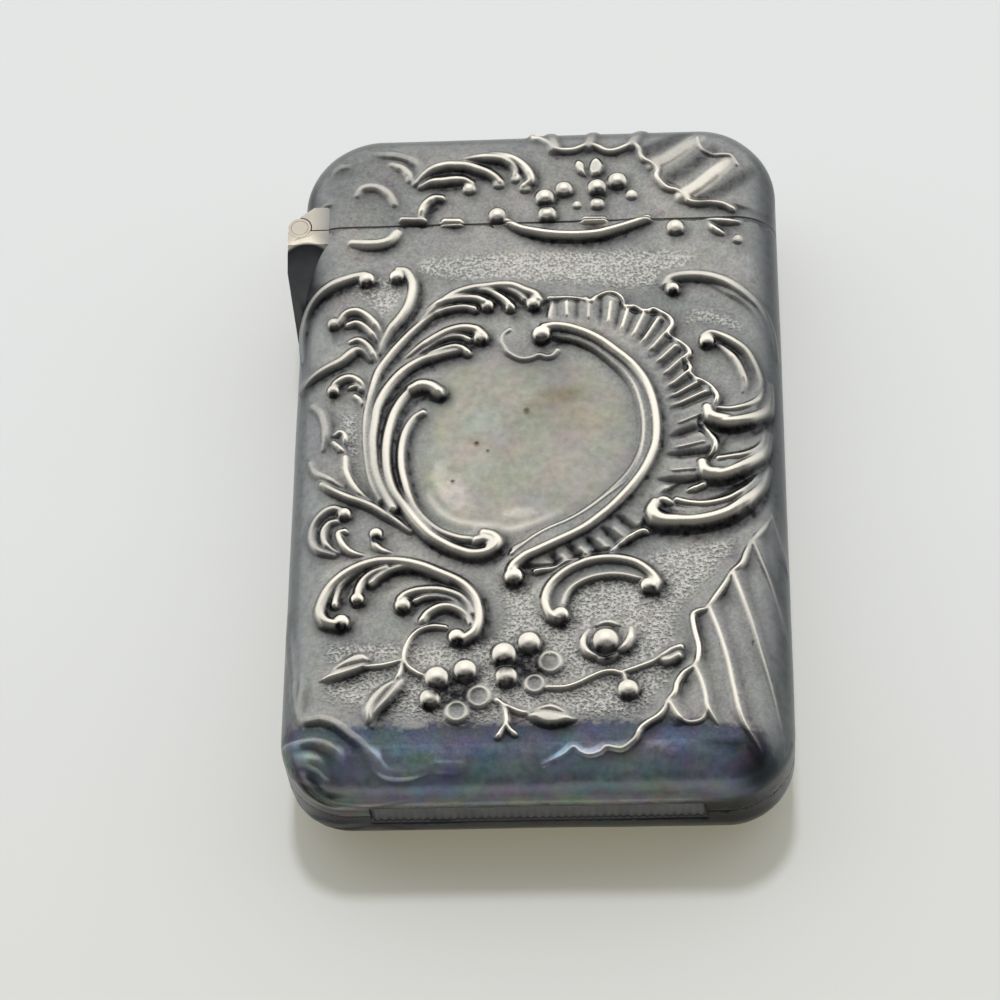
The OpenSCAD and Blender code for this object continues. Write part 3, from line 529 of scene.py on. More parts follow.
ridge([(-0.6, 31.5), (-0.5, 30), (0.2, 29.6), (0.8, 29), (1.3, 28.3), (2, 28), (3, 28), (3.7, 28.3),
       (4.3, 28.6), (5, 28.3), (5.8, 27.8), (6.6, 27.8), (7.6, 28.3), (8, 28.6), (8.6, 27.9),
       (8.7, 27.3), (9, 26.8), (9.7, 26.3), (10.1, 25.7), (10, 25.1), (10.3, 24.5), (10.9, 23.8),
       (11.7, 23.5), (12.3, 23), (12.7, 22.4), (13.5, 22.2), (14.5, 22.2), (15.5, 22), (16.3, 21.5)],
       0.26, 0.36)
# Each flute gives the strength of a painted highlight along it.
lid_flutes = [
    ([(4.3, 28.6), (4.6, 30.5), (4.8, 33)], 0.34, 0),
    ([(1.4, 28.4), (1, 31), (1.4, 33)], 0.34, 0),
    ([(8, 28.6), (8.6, 30.6), (9.2, 32.8)], 0.34, 0),
    ([(9.8, 26.2), (10.8, 26.6), (12.4, 27.8), (13.6, 29)], 0.24, 0.3),
    ([(12.2, 23), (13.4, 23.8), (14.6, 24.9), (16, 26.2)], 0.3, 0.55),
    ([(14.8, 22.2), (17, 23.2), (19.5, 25)], 0.16, 0),
]
for points, height, flute_highlight in lid_flutes:
    ridge(points, 0.62, height, end=0.7)
    ridge(points, 0.5, flute_highlight, end=0.8, profile=flat_topped, field=painted_highlight)
# Painted shade in the hollows between the lid's flutes.
lid_hollow_shade = [
    [(9.3, 27.9), (10.3, 28.4), (11.5, 29.2), (12.6, 30.2)],
    [(11.1, 25), (12.2, 25.6), (13.5, 26.6), (14.8, 27.7)],
    [(13.8, 22.9), (15.4, 23.6), (16.8, 24.6), (18, 25.7)],
]
for points in lid_hollow_shade:
    ridge(points, 0.68, 0.75, end=0.7, field=shadow_marks)
ridge([(13.5, 29), (13.6, 28.2), (14, 27.5), (14.8, 27), (15.5, 27), (16.3, 26.9), (16.8, 26)],
       0.24, 0.32)

# Matted ground, pricked with a blunt punch between the ornaments
mattings = [
    [(-11, 15.4), (-9, 18.8), (11, 19), (14, 16.6), (10, 13.4), (0.5, 14), (-6, 14.4)],
    [(9, -9.6), (16.8, -8.8), (15.4, -12.5), (12, -16.6), (12.2, -20.6), (10, -24), (8, -25.6),
     (0, -25.8), (-6, -26), (-16, -24), (-17, -20), (-16, -17.4), (-4, -17), (-3.6, -13), (3, -12)],
    [(-10.2, 16.6), (-10, 13.6), (-12.4, 10.4), (-15.6, 13.4), (-18.2, 13.8), (-14.6, 17)],
    [(-16.6, -1), (-13.8, -4.6), (-13.4, 3), (-16.8, 3.2)],
    [(12, 13.6), (17, 11.6), (18.8, 6), (17.2, 8), (13.4, 9.8), (12, 8.6), (11.2, 10.6)],
]
for points in mattings:
    pad(points, 1.0, 1.5, matted)


def softened(field, reach):
    """A field blurred over a distance in millimetres."""
    n = int(3 * reach / cell)
    k = np.exp(-0.5 * (np.arange(-n, n + 1) * cell / reach) ** 2)
    k /= k.sum()
    rows = np.apply_along_axis(np.convolve, 1, np.pad(field, ((0, 0), (n, n)), "edge"), k, "valid")
    return np.apply_along_axis(np.convolve, 0, np.pad(rows, ((n, n), (0, 0)), "edge"), k, "valid")


def rising(x, start, width):
    """How far x has come from a start over a width, from 0 to 1."""
    return np.clip((x - start) / width, 0, 1)


# The sheet is slightly wavy, the relief is worn at the sides, and dirt with painted shade, and polish
# with painted highlights, follow its shape.
waves_seed = np.random.default_rng(7)
waviness = sum(
    depth * softened(waves_seed.standard_normal(relief.shape), reach) * reach / cell
    for depth, reach in ((0.008, 0.5), (0.03, 1.4))
)
worn_sides = np.interp(across, (-20, -17, 16, 19), (0.75, 1, 1, 0.45))
relief = softened(np.maximum(relief - cuts, 0) * worn_sides, 0.06)
around = softened(relief, 0.4)
# Painted shadow falls on the lower right of each ridge, with painted shade in its angles and round the
# ornament; partly dirt.
shadow_side = np.roll(around, (-4, 3), axis=(0, 1))
angles = rising(around - relief, 0, 0.2)
wide_shade = rising(softened(relief, 1.1) - relief, 0, 0.5)
crease_dirt_and_shade = np.clip((shadow_side - relief) / 0.22 + 0.3 * angles + 0.08 * wide_shade, 0, 1)
# Crests are polished and carry painted highlights, weaker on the sides, the left of the lid and the near
# end.
lifted = rising(relief, 0, 0.2)
sharp = rising(relief - softened(relief, 0.3), 0.02, 0.14)
broad = rising(relief - softened(relief, 1.0), 0.08, 0.25)
crest_weight = 1 - 0.7 * rising(np.abs(across), 15.5, 3)[None] * np.ones_like(relief)
crest_weight[along > mouth_y] *= 0.6 + 0.4 * rising(across, -12, 4)
crest_weight[along < -27] *= 0.6
crest_polish_and_highlight = np.maximum(sharp, np.maximum(0.8 * broad, painted_highlight)) * lifted * crest_weight
matted = matted * (1 - lifted)

# The cartouche was kept plain for initials; it is slightly dished and rubbed by the thumb.
rubbed = np.zeros_like(relief)
pad([(-8, 7.6), (-4, 8.6), (0, 7.2), (4, 7.8), (7.2, 4.6), (8.3, 1), (7.6, -3.4), (4.6, -6.6), (0, -8.8),
     (-3.6, -8.8), (-7, -8.2), (-9.4, -5), (-9.8, -1), (-9, 3.4)], 1.0, 1.6, rubbed)
rubbed = rubbed * (1 - lifted)


def blots(places):
    """Soft blots, each as its middle, half length, half width, turn in degrees and strength."""
    total = np.zeros_like(relief)
    for x, y, a, b, turned, strength in places:
        t = math.radians(turned)
        dx = across[None] - x
        dy = along[:, None] - y
        p = (dx * math.cos(t) + dy * math.sin(t)) / a
        q = (dy * math.cos(t) - dx * math.sin(t)) / b
        total += strength * np.exp(-p * p - q * q)
    return np.clip(total, 0, 1)


# Painted shade in the hearts of the flowers, between their beads.
heart_shade = blots([
    (-0.6, -21.1, 1.3, 1, 0, 2.5), (-6.1, -23.2, 1.3, 1, 0, 2.5), (5.4, -20, 1.3, 0.5, 0, 0.9),
])
crease_dirt_and_shade = np.maximum(np.maximum(0.9 * crease_dirt_and_shade, shadow_marks), heart_shade * np.clip(1.6 - relief / 0.2, 0, 1))
stained = rubbed * blots([
    (2.4, 3.7, 1.6, 0.9, 10, 0.9), (-0.4, 1.9, 1.6, 1, 30, 0.4), (2.6, 1.4, 2.2, 1.6, 0, 0.25),
    (-0.8, 2.1, 0.22, 0.22, 0, 0.9), (-4.9, -0.8, 0.26, 0.22, 0, 0.9), (0.4, 6.2, 2.4, 0.8, 0, 0.3),
])
# Painted highlights on the cartouche, and a painted streak of light along its lower rim.
painted_gleam = rubbed * blots([
    (-7.4, -4.6, 3.2, 2, -50, 0.65), (-1.6, -7.2, 2.8, 1, 0, 0.5), (2.6, -5.6, 2, 1, 30, 0.4),
    (6.6, -1.6, 2.2, 0.9, 60, 0.5), (-6.6, 2.6, 1.4, 1.6, 0, 0.35),
])
rim_light = np.zeros_like(relief)
ridge([(-8.6, -5.2), (-7.6, -6.7), (-6.2, -7.5), (-4.6, -7.8), (-3.2, -7.9), (-2.3, -8.3), (-1.2, -8.1),
       (0.6, -7.6), (2, -7)], 0.3, 1.0, start=0.6, end=0.4, profile=keen, field=rim_light)
crest_polish_and_highlight = np.maximum(crest_polish_and_highlight, 0.5 * softened(rim_light, 0.1))
pits = np.zeros_like(relief)
for x, y, r in ((-0.8, 2.1, 0.42), (-4.8, -0.9, 0.34), (-6.7, -4.4, 0.3), (-3.9, -1.6, 0.24)):
    press(pits, x, y, r, 1.0, struck)
crease_dirt_and_shade = np.maximum(crease_dirt_and_shade, 0.4 * pits)
dish_depth = 0.12
pit_depth = 0.07
relief = relief + waviness - dish_depth * softened(rubbed, 0.8) - pit_depth * pits


def cushion(u, v, grow=0.0):
    """Places on the case of the unrolled ground, with how far each lies past the flat of the front."""
    corner = np.where(v > 0, lid_corner_r, base_corner_r)
    run_x = side_x - corner
    run_y = np.where(v > 0, top_y, base_y) - corner
    px = np.clip(u, -run_x, run_x)
    py = np.clip(v, -run_y, run_y)
    away = np.hypot(u - px, v - py)
    nx = (u - px) / np.maximum(away, 1e-9)
    ny = (v - py) / np.maximum(away, 1e-9)
    past = away - (corner - edge_r)
    s = np.clip(past, 0, unrolled)
    a = np.minimum(s / edge_r, math.pi / 2)
    on_roll = past > 0
    out = corner - edge_r + (edge_r + grow) * np.sin(a)
    x = np.where(on_roll, px + nx * out, u)
    y = np.where(on_roll, py + ny * out, v)
    z = half_t - edge_r + (edge_r + grow) * np.cos(a) - np.maximum(s - roll_l, 0)
    return np.stack([x, y, np.maximum(z, 0)], axis=-1), past


def tarnish_and_shade(u, v, past, face):
    """How far up the near end a place lies, and how black and how dark painted shade leaves it."""
    turned = (past + base_y - edge_r) * rising(-v, 24, 3)
    right_up = 0.8 * rising(u, 12, 4) + 4.9 * rising(u, 16, 3.2)
    foot = np.clip((np.maximum(-v, turned) - right_up - base_y + 5.5) / 10, 0, 1)
    low_left = 0.5 * rising(-u, 14.5, 4) * rising(-v, 24.5, 3)
    low_right = np.exp(-((u - 17.7) / 2.5) ** 2 - ((v + 30.7) / 2.0) ** 2)
    dark_rim = past - unrolled + 1.4 + 1.4 * rising(u, 6, 10)
    end_right = 0.9 * rising(dark_rim, 0, 1.2) * rising(u, 4, 8) * (v < -24)
    black_shade = np.maximum(0.8 * low_right, end_right * rising(u, 9, 5))
    under_hinge = 0.9 * np.exp(-((u + 19.4) / 1.7) ** 2 - ((v - 15.5) / 2.8) ** 2)
    by_hinge = 0.85 * rising(-u, 19, 0.8) * rising(-v, -27.5, 1.5) * (v > mouth_y)
    right_edge = 0.6 * rising(u, 17.5, 1.5) * np.clip(0.3 + (v + 28) / 8, 0.3, 1)
    lid_left = 0.1 * rising(-u, -8, 4) * (v > mouth_y)
    underneath = 0.85 * (face < 0) * rising(-v, 24, 3)
    painted_shades = (low_left, low_right, end_right, under_hinge, by_hinge, right_edge, lid_left, underneath)
    return foot, black_shade, np.clip(sum(painted_shades), 0, 1)


def placed(name, data):
    """Adds an object with this data to the scene."""
    made = bpy.data.objects.new(name, data)
    bpy.context.collection.objects.link(made)
    return made


lining_cell = 0.8
seam_fade = 1.2
crisp = math.radians(75)


def struck_half(name, v0, v1, height, face, triangles, step, slot=(0, 0)):
    """One struck half: the ground between two rows, raised by the relief, with its inside wall.

    The slot in the end band, by half its length and half its height, is left out of both walls."""
    bm = bmesh.new()
    for c in (step, lining_cell):
        columns = round(2 * half_u / c)
        rows = round((v1 - v0) / c)
        bmesh.ops.create_grid(bm, x_segments=columns, y_segments=rows, size=1)
    mesh = bpy.data.meshes.new(name)
    bm.to_mesh(mesh)
    bm.free()
    n = len(mesh.vertices)
    flat = np.zeros(3 * n)
    mesh.vertices.foreach_get("co", flat)
    flat = flat.reshape(-1, 3)
    outside = (round(2 * half_u / step) + 1) * (round((v1 - v0) / step) + 1)
    lining = np.arange(n) >= outside
    u = flat[:, 0] * half_u
    v = v0 + (flat[:, 1] + 1) / 2 * (v1 - v0)
    i = np.clip(np.rint((u + half_u) / cell).astype(int), 0, len(across) - 1)
    j = np.clip(np.searchsorted(along, v - cell / 2), 0, len(along) - 1)
    lift = np.where(lining, 0, relief[j, i] * height)
    ground, past = cushion(u, v)
    lined, _ = cushion(u, v, -sheet)
    over, _ = cushion(u, v, 1.0)
    fade = rising(-past, -unrolled, seam_fade)
    place = np.where(lining[:, None], lined, ground + (over - ground) * (lift * fade)[:, None])
    place[:, 0] += middle_x
    place[:, 2] = joint_z + face * place[:, 2]
    mesh.vertices.foreach_set("co", (place * MM).ravel())

    # The finish reads these marks from the mesh: wear, dirt and stains, with painted shade and painted
    # highlights.
    fields = {"crease_dirt_and_shade": crease_dirt_and_shade, "crest_polish_and_highlight": crest_polish_and_highlight, "matted": matted, "rubbed": rubbed,
              "stained": stained, "painted_gleam": painted_gleam}
    masks = {label: np.where(lining, 0, field[j, i]) for label, field in fields.items()}
    masks["lining"] = lining.astype(float)
    masks["rolled"] = rising(past, 0, edge_r)
    masks["foot"], black_shade, masks["shaded"] = tarnish_and_shade(u, v, past, face)
    # Painted black shade in the near right corner joins the dark of the creases.
    masks["crease_dirt_and_shade"] = np.maximum(masks["crease_dirt_and_shade"], black_shade)
    for label, values in masks.items():
        layer = mesh.attributes.new(label, "FLOAT", "POINT")
        layer.data.foreach_set("value", values.astype(np.float32))

    # What lies past the seam or in the slot is cut away, and the two walls are joined along their rims.
    bm = bmesh.new()
    bm.from_mesh(mesh)
    room = np.where(lining, lining_cell, 1e-6)
    in_slot = (np.abs(u) < slot[0] + room) & (past > unrolled - slot[1] - room) & (v < 0)
    gone = (past > unrolled - 1e-6) | (in_slot & (slot[0] > 0))
    spare = [f for f in bm.faces if all(gone[w.index] for w in f.verts)]
    bmesh.ops.delete(bm, geom=spare, context="FACES")
    inner = [f for f in bm.faces if lining[f.verts[0].index]]
    outer = [f for f in bm.faces if not lining[f.verts[0].index]]
    bmesh.ops.reverse_faces(bm, faces=inner if face > 0 else outer)
    rims = [e for e in bm.edges if e.is_boundary]
    bm.verts.index_update()
    held = {w.index for e in rims for w in e.verts}
    bmesh.ops.bridge_loops(bm, edges=rims)
    bm.to_mesh(mesh)
    bm.free()
    mesh.shade_smooth()
    mesh.set_sharp_from_angle(angle=crisp)
    piece = placed(name, mesh)

    # The mesh is thinned where it is flat; its rims stay straight.
    mesh.calc_loop_triangles()
    if len(mesh.loop_triangles) > triangles:
        free = piece.vertex_groups.new(name="free")
        free.add([k for k in range(len(mesh.vertices)) if k not in held], 1.0, "REPLACE")
        thin = piece.modifiers.new("thinned", "DECIMATE")
        thin.ratio = triangles / len(mesh.loop_triangles)
        thin.vertex_group = free.name
        even = piece.modifiers.new("even", "WEIGHTED_NORMAL")
        even.weight = 80
        seen = bpy.context.evaluated_depsgraph_get()
        piece.data = bpy.data.meshes.new_from_object(piece.evaluated_get(seen))
        piece.data.name = name
        piece.modifiers.clear()
        piece.vertex_groups.clear()
        bpy.data.meshes.remove(mesh)
    return piece


def node(tree, kind, **settings):
    """A shader node with its settings."""
    made = tree.nodes.new(kind)
    for key, value in settings.items():
        setattr(made, key, value)
    return made


def plugged(tree, socket, value):
    """Gives a socket an output, a colour or a number."""
    if isinstance(value, bpy.types.NodeSocket):
        tree.links.new(value, socket)
    elif hasattr(value, "__len__"):
        socket.default_value = (*value, 1)
    else:
        socket.default_value = value


def noise(tree, where, scale, detail):
    """A noise over the piece's own coordinates."""
    made = node(tree, "ShaderNodeTexNoise")
    made.inputs["Detail"].default_value = detail
    plugged(tree, made.inputs["Scale"], scale)
    tree.links.new(where.outputs["Object"], made.inputs["Vector"])
    return made


def cloud_group():
    """Cloudy tarnish and fine handling marks, shared by the silver finishes."""
    tree = bpy.data.node_groups.new("tarnish_clouds", "ShaderNodeTree")
    tree.interface.new_socket("Scale", in_out="INPUT", socket_type="NodeSocketFloat")
    tree.interface.new_socket("Clouds", in_out="OUTPUT", socket_type="NodeSocketFloat")
    tree.interface.new_socket("Marks", in_out="OUTPUT", socket_type="NodeSocketFloat")
    into = node(tree, "NodeGroupInput")
    out = node(tree, "NodeGroupOutput")
    where = node(tree, "ShaderNodeTexCoord")
    clouds = noise(tree, where, scale=into.outputs["Scale"], detail=6)
    clouds.inputs["Roughness"].default_value = 0.62
    marks = noise(tree, where, scale=1600, detail=4)
    tree.links.new(clouds.outputs["Fac"], out.inputs["Clouds"])
    tree.links.new(marks.outputs["Fac"], out.inputs["Marks"])
    return tree


tarnish_clouds = cloud_group()


def ramp(tree, source, stops):
    """A colour ramp on a value; each stop is a place with a colour or a grey."""
    made = node(tree, "ShaderNodeValToRGB")
    elements = made.color_ramp.elements
    while len(elements) < len(stops):
        elements.new(0.5)
    for element, (at, colour) in zip(elements, stops):
        element.position = at
        element.color = (*colour, 1) if hasattr(colour, "__len__") else (colour, colour, colour, 1)
    tree.links.new(source, made.inputs["Fac"])
    return made.outputs["Color"]


def mixed(tree, factor, a, b, blend="MIX"):
    """Two colours mixed; each is a colour or an output."""
    made = node(tree, "ShaderNodeMix", data_type="RGBA", blend_type=blend)
    for k, value in ((0, factor), (6, a), (7, b)):
        plugged(tree, made.inputs[k], value)
    return made.outputs[2]


def sums(tree, operation, a, b, c=0.0, clamp=False):
    """A math node; each input is a number or an output."""
    made = node(tree, "ShaderNodeMath", operation=operation, use_clamp=clamp)
    for socket, value in zip(made.inputs, (a, b, c)):
        plugged(tree, socket, value)
    return made.outputs[0]


def new_material(name):
    """An empty node material with its tree and its shader."""
    made = bpy.data.materials.new(name)
    made.use_nodes = True
    return made, made.node_tree, made.node_tree.nodes["Principled BSDF"]


edge_grey = (0.19, 0.205, 0.21)
# The next colours paint shade, dirt with shade, pale scuffs with highlights, brown stains, glints on the
# pricks, and polished crests with highlights.
shade_grey = (0.045, 0.048, 0.055)
dirt_and_shade_black = (0.018, 0.018, 0.02)
scuff_and_gleam_pale = (0.58, 0.56, 0.50)
stain_brown = (0.21, 0.175, 0.11)
prick_glint = (0.62, 0.60, 0.55)
polish_and_highlight_pale = (0.86, 0.81, 0.70)
lining_silver = (0.62, 0.60, 0.56)
ground_tones = [(0.3, (0.22, 0.225, 0.22)), (0.5, (0.30, 0.30, 0.285)), (0.7, (0.37, 0.36, 0.33))]
thumbed_tones = [
    (0.3, (0.25, 0.25, 0.215)), (0.45, (0.31, 0.305, 0.265)), (0.6, (0.35, 0.335, 0.29)),
    (0.75, (0.46, 0.44, 0.38)),
]
# Colours up the near end: bluish tarnish colours, darkened as a painted dark reflection.
near_end_tarnish_and_reflection = [
    (0.04, (0.075, 0.088, 0.115)), (0.20, (0.10, 0.115, 0.145)), (0.28, (0.345, 0.405, 0.49)),
    (0.42, (0.41, 0.48, 0.585)), (0.52, (0.27, 0.31, 0.37)), (0.64, (0.155, 0.17, 0.19)),
    (0.71, (0.18, 0.185, 0.195)), (0.75, (0.36, 0.36, 0.37)), (0.79, (0.20, 0.20, 0.21)),
]


def struck_silver():
    """Oxidised silver: dark in the creases from dirt and painted shade, dark on the edges, bright on the
    crests from polish and painted highlights.
    """
    made, tree, shader = new_material("struck_silver")
    shader.inputs["Metallic"].default_value = 1
    masks = {}
    for label in ("crease_dirt_and_shade", "crest_polish_and_highlight", "matted", "rubbed", "stained", "painted_gleam",
                  "rolled", "foot", "shaded", "lining"):
        masks[label] = node(tree, "ShaderNodeAttribute", attribute_name=label).outputs["Fac"]
    group = node(tree, "ShaderNodeGroup", node_tree=tarnish_clouds)
    group.inputs["Scale"].default_value = 140
    clouds = group.outputs["Clouds"]
    marks = group.outputs["Marks"]
    where = node(tree, "ShaderNodeTexCoord")
    hues = noise(tree, where, scale=450, detail=4)
    grains = noise(tree, where, scale=4000, detail=1)

    # The ground, its darker rolled edges, and the dark band up the near end: tarnish colours under a
    # painted dark reflection
    edges = mixed(tree, masks["rolled"], ramp(tree, clouds, ground_tones), edge_grey)
    uneven = sums(tree, "MULTIPLY_ADD", hues.outputs["Fac"], 0.12, masks["foot"])
    ragged = sums(tree, "MULTIPLY_ADD", marks, 0.14, uneven)
    reached = ramp(tree, ragged, [(0.15, 0), (0.20, 1)])
    end = mixed(tree, reached, edges, ramp(tree, masks["foot"], near_end_tarnish_and_reflection))
    # Painted shade in the near corners, round the hinge, along the right edge, on the left of the lid and
    # at the back half's near end.
    end = mixed(tree, masks["shaded"], end, shade_grey)

    # The cartouche, scuffed and stained, with painted highlights among its pale scuffs
    half_painted_gleam = sums(tree, "MULTIPLY", masks["painted_gleam"], 0.5)
    scuffs_and_gleam = sums(tree, "MULTIPLY_ADD", clouds, 0.8, half_painted_gleam)
    scuffed_and_gleaming = ramp(tree, scuffs_and_gleam, [(0.58, 0), (0.76, 1)])
    thumbed = mixed(tree, scuffed_and_gleaming, ramp(tree, clouds, thumbed_tones), scuff_and_gleam_pale)
    thumbed = mixed(tree, masks["stained"], thumbed, stain_brown)
    plate = mixed(tree, masks["rubbed"], end, thumbed)

    # Faint colours, dust and grit
    calm = sums(tree, "MULTIPLY_ADD", masks["rubbed"], 0.12, 0.06)
    lively = sums(tree, "MULTIPLY_ADD", reached, 0.5, calm)
    tinted = mixed(tree, lively, plate, hues.outputs["Color"], "OVERLAY")
    dusty = mixed(tree, 1.0, tinted, ramp(tree, marks, [(0.3, 0.72), (0.7, 1)]), "MULTIPLY")
    gritty = ramp(tree, grains.outputs["Fac"], [(0.38, 0.82), (0.60, 1)])
    smooth = sums(tree, "ADD", masks["rubbed"], masks["rolled"])
    rubbed_off = sums(tree, "SUBTRACT", 1.0, smooth, clamp=True)
    dusty = mixed(tree, rubbed_off, dusty, gritty, "MULTIPLY")

    # Painted glints on the pricked ground, polish and painted highlights on the crests, and black dirt
    # and painted shade in the creases
    # Painted glints on the pricked ground.
    pricked = sums(tree, "MULTIPLY", grains.outputs["Fac"], masks["matted"])
    glint_speckle = ramp(tree, pricked, [(0.38, 0), (0.66, 0.58)])
    specked = mixed(tree, glint_speckle, dusty, prick_glint)
    highlighted = mixed(tree, masks["crest_polish_and_highlight"], specked, polish_and_highlight_pale)
    # Black in the creases is dirt together with painted shade and painted shadow.
    broken = sums(tree, "MULTIPLY_ADD", marks, 1.2, 0.35)
    dirt_and_shade = sums(tree, "MULTIPLY", broken, masks["crease_dirt_and_shade"], clamp=True)
    dark = mixed(tree, dirt_and_shade, highlighted, dirt_and_shade_black)
    plain = mixed(tree, masks["lining"], dark, lining_silver)
    tree.links.new(plain, shader.inputs["Base Color"])
    tree.links.new(sums(tree, "MULTIPLY_ADD", marks, 0.2, 0.2), shader.inputs["Roughness"])
    bump = node(tree, "ShaderNodeBump")
    bump.inputs["Strength"].default_value = 0.33
    bump.inputs["Distance"].default_value = 0.3 * MM
    tree.links.new(sums(tree, "MULTIPLY_ADD", marks, 0.06, pricked), bump.inputs["Height"])
    tree.links.new(bump.outputs["Normal"], shader.inputs["Normal"])
    return made


slot_play = 0.05
striker_lo, striker_hi = (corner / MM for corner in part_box("striker"))
striker_slot = (
    (striker_hi.x - striker_lo.x) / 2 + slot_play,
    (striker_hi.z - striker_lo.z) / 2 + slot_play,
)
silver = struck_silver()
v_base = along[0]
front = struck_half("case_front", v_base, mouth_y, height=1.0, face=1,
                    triangles=190000, step=cell, slot=striker_slot)
front.data.materials.append(silver)
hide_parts("body_front")
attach(front, "case")

# Struck back of the case
# The back half is struck like the front, with flatter relief because the case lies on it.
# It is soldered to the front along the middle of the sides.
back_relief = 0.6
back_height = back_relief / relief.max()
back_step = 1.5 * cell
back = struck_half("case_back", v_base, mouth_y, height=back_height, face=-1,
                   triangles=120000, step=back_step, slot=striker_slot)
back.data.materials.append(silver)
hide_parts("body_back")
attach(back, "case")

# Lid
# The two halves of the lid were cut from the same strikings as the body, so the ornament runs across
# the parting line. They are soldered together and carried by the hinge.
v_top = along[-1]
lid_top = struck_half("lid_front_struck", lid_foot_y, v_top, height=1.0, face=1,
                      triangles=130000, step=cell)
lid_under = struck_half("lid_back_struck", lid_foot_y, v_top, height=back_height, face=-1,
                        triangles=60000, step=back_step)
for piece, half in ((lid_top, "lid_front"), (lid_under, "lid_back")):
    piece.data.materials.append(silver)
    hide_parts(half)
    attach(piece, "lid")


def plain_metal(name, colour, roughness, scale):
    """A plain metal, toned in clouds, with fine marks in its gloss."""
    made, tree, shader = new_material(name)
    shader.inputs["Metallic"].default_value = 1
    group = node(tree, "ShaderNodeGroup", node_tree=tarnish_clouds)
    group.inputs["Scale"].default_value = scale
    tone = ramp(tree, group.outputs["Clouds"], [(0.3, [0.7 * c for c in colour]), (0.7, colour)])
    tree.links.new(tone, shader.inputs["Base Color"])
    rough = sums(tree, "MULTIPLY_ADD", group.outputs["Marks"], 0.2, roughness - 0.1)
    tree.links.new(rough, shader.inputs["Roughness"])
    return made


def own_axes(tree):
    """A piece's own coordinates, as one output for each axis."""
    where = node(tree, "ShaderNodeTexCoord")
    axes = node(tree, "ShaderNodeSeparateXYZ")
    tree.links.new(where.outputs["Object"], axes.inputs["Vector"])
    return axes.outputs


def finished(finish, *names):
    """Gives the solids that show as they are their finish."""
    for name in names:
        nodes[name].data.materials.clear()
        nodes[name].data.materials.append(finish)


hinge_silver = plain_metal("hinge_silver", (1.0, 0.97, 0.92), roughness=0.35, scale=300)
tree = hinge_silver.node_tree
shader = tree.nodes["Principled BSDF"]
cream = shader.inputs["Base Color"].links[0].from_socket
# The block's face is painted lighter towards its lip as painted light, greyer towards the case, and dark
# below the lip as painted shade.
axes = own_axes(tree)
inner_x = 18.9
span = 40
aside = sums(tree, "MULTIPLY_ADD", axes["X"], 1 / MM, inner_x)
arched = sums(tree, "MULTIPLY", sums(tree, "MULTIPLY", aside, aside), 0.25)
raised = sums(tree, "MULTIPLY_ADD", axes["Y"], 1 / MM, arched)
up_block = sums(tree, "DIVIDE", raised, span)
greyed = ramp(tree, sums(tree, "MULTIPLY", aside, 0.25), [(0.08, 0), (0.42, 0.85)])
lit = ramp(tree, up_block, [
    (19.4 / span, (0.78, 0.73, 0.63)), (20.3 / span, (0.50, 0.46, 0.39)), (22 / span, (0.46, 0.43, 0.38)),
])
faced = mixed(tree, greyed, lit, (0.25, 0.25, 0.245))
grained = mixed(tree, 0.6, faced, cream, "MULTIPLY")
below_lip = ramp(tree, up_block, [(19.15 / span, 1), (19.35 / span, 0)])
shaded_slope = ramp(tree, up_block, [
    (13 / span, (0.20, 0.21, 0.215)), (17.5 / span, (0.10, 0.11, 0.12)),
    (19.2 / span, (0.035, 0.038, 0.042)),
])
shaded_sloped = mixed(tree, 0.8, shaded_slope, cream, "MULTIPLY")
tree.links.new(mixed(tree, below_lip, grained, shaded_sloped), shader.inputs["Base Color"])
finished(hinge_silver, "body_knuckle_front", "body_knuckle_back", "lid_knuckle", "hinge_pin")

pin_lo, pin_hi = (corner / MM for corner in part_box("hinge_pin"))
pin_x = (pin_lo.x + pin_hi.x) / 2
pin_y = (pin_lo.y + pin_hi.y) / 2
tube_r = 1.1
eased_r = 0.3
outer_x = middle_x - side_x + 0.3
bearers = (("body_hinge_block", "body_bearer", "case"), ("lid_hinge_block", "lid_bearer", "lid"))
for name, block, rider in bearers:
    bm = bmesh.new()
    bm.from_mesh(nodes[block].data)
    bmesh.ops.remove_doubles(bm, verts=bm.verts, dist=0.001 * MM)
    bmesh.ops.dissolve_limit(bm, angle_limit=math.radians(2), verts=bm.verts, edges=bm.edges)
    corners = []
    for e in bm.edges:
        mid = (e.verts[0].co + e.verts[1].co) / 2 / MM
        clear = math.hypot(mid.x - pin_x, mid.y - pin_y) > tube_r
        outer = any(w.co.x / MM < outer_x for w in e.verts)
        if clear and outer and len(e.link_faces) == 2 and e.calc_face_angle() > math.radians(40):
            corners.append(e)
    bmesh.ops.bevel(bm, geom=corners, offset=eased_r * MM, segments=3, profile=0.5, affect="EDGES",
                    clamp_overlap=True, material=-1)
    block_mesh = bpy.data.meshes.new(name)
    bm.to_mesh(block_mesh)
    bm.free()
    block_mesh.shade_smooth()
    block_mesh.set_sharp_from_angle(angle=math.radians(35))
    block_mesh.materials.append(hinge_silver)
    eased = placed(name, block_mesh)
    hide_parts(block)
    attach(eased, rider)

# Collar, striker seat and heel
# Plain silver sheet inside the case. The collar stands up in the mouth, the seat backs the striker, and
# the heel reaches down from the lid to the spring; all three are soldered in.
inner_silver = plain_metal("inner_silver", (0.72, 0.69, 0.62), roughness=0.35, scale=200)
finished(inner_silver, "collar", "striker_seat", "lid_heel")

# Spring and rivets
# A leaf of dark steel inside the hinge side, which snaps the lid shut.
# Two steel rivets hold it to the wall.
spring_steel = plain_metal("spring_steel", (0.36, 0.37, 0.40), roughness=0.35, scale=400)
finished(spring_steel, "lid_spring", "spring_rivets")

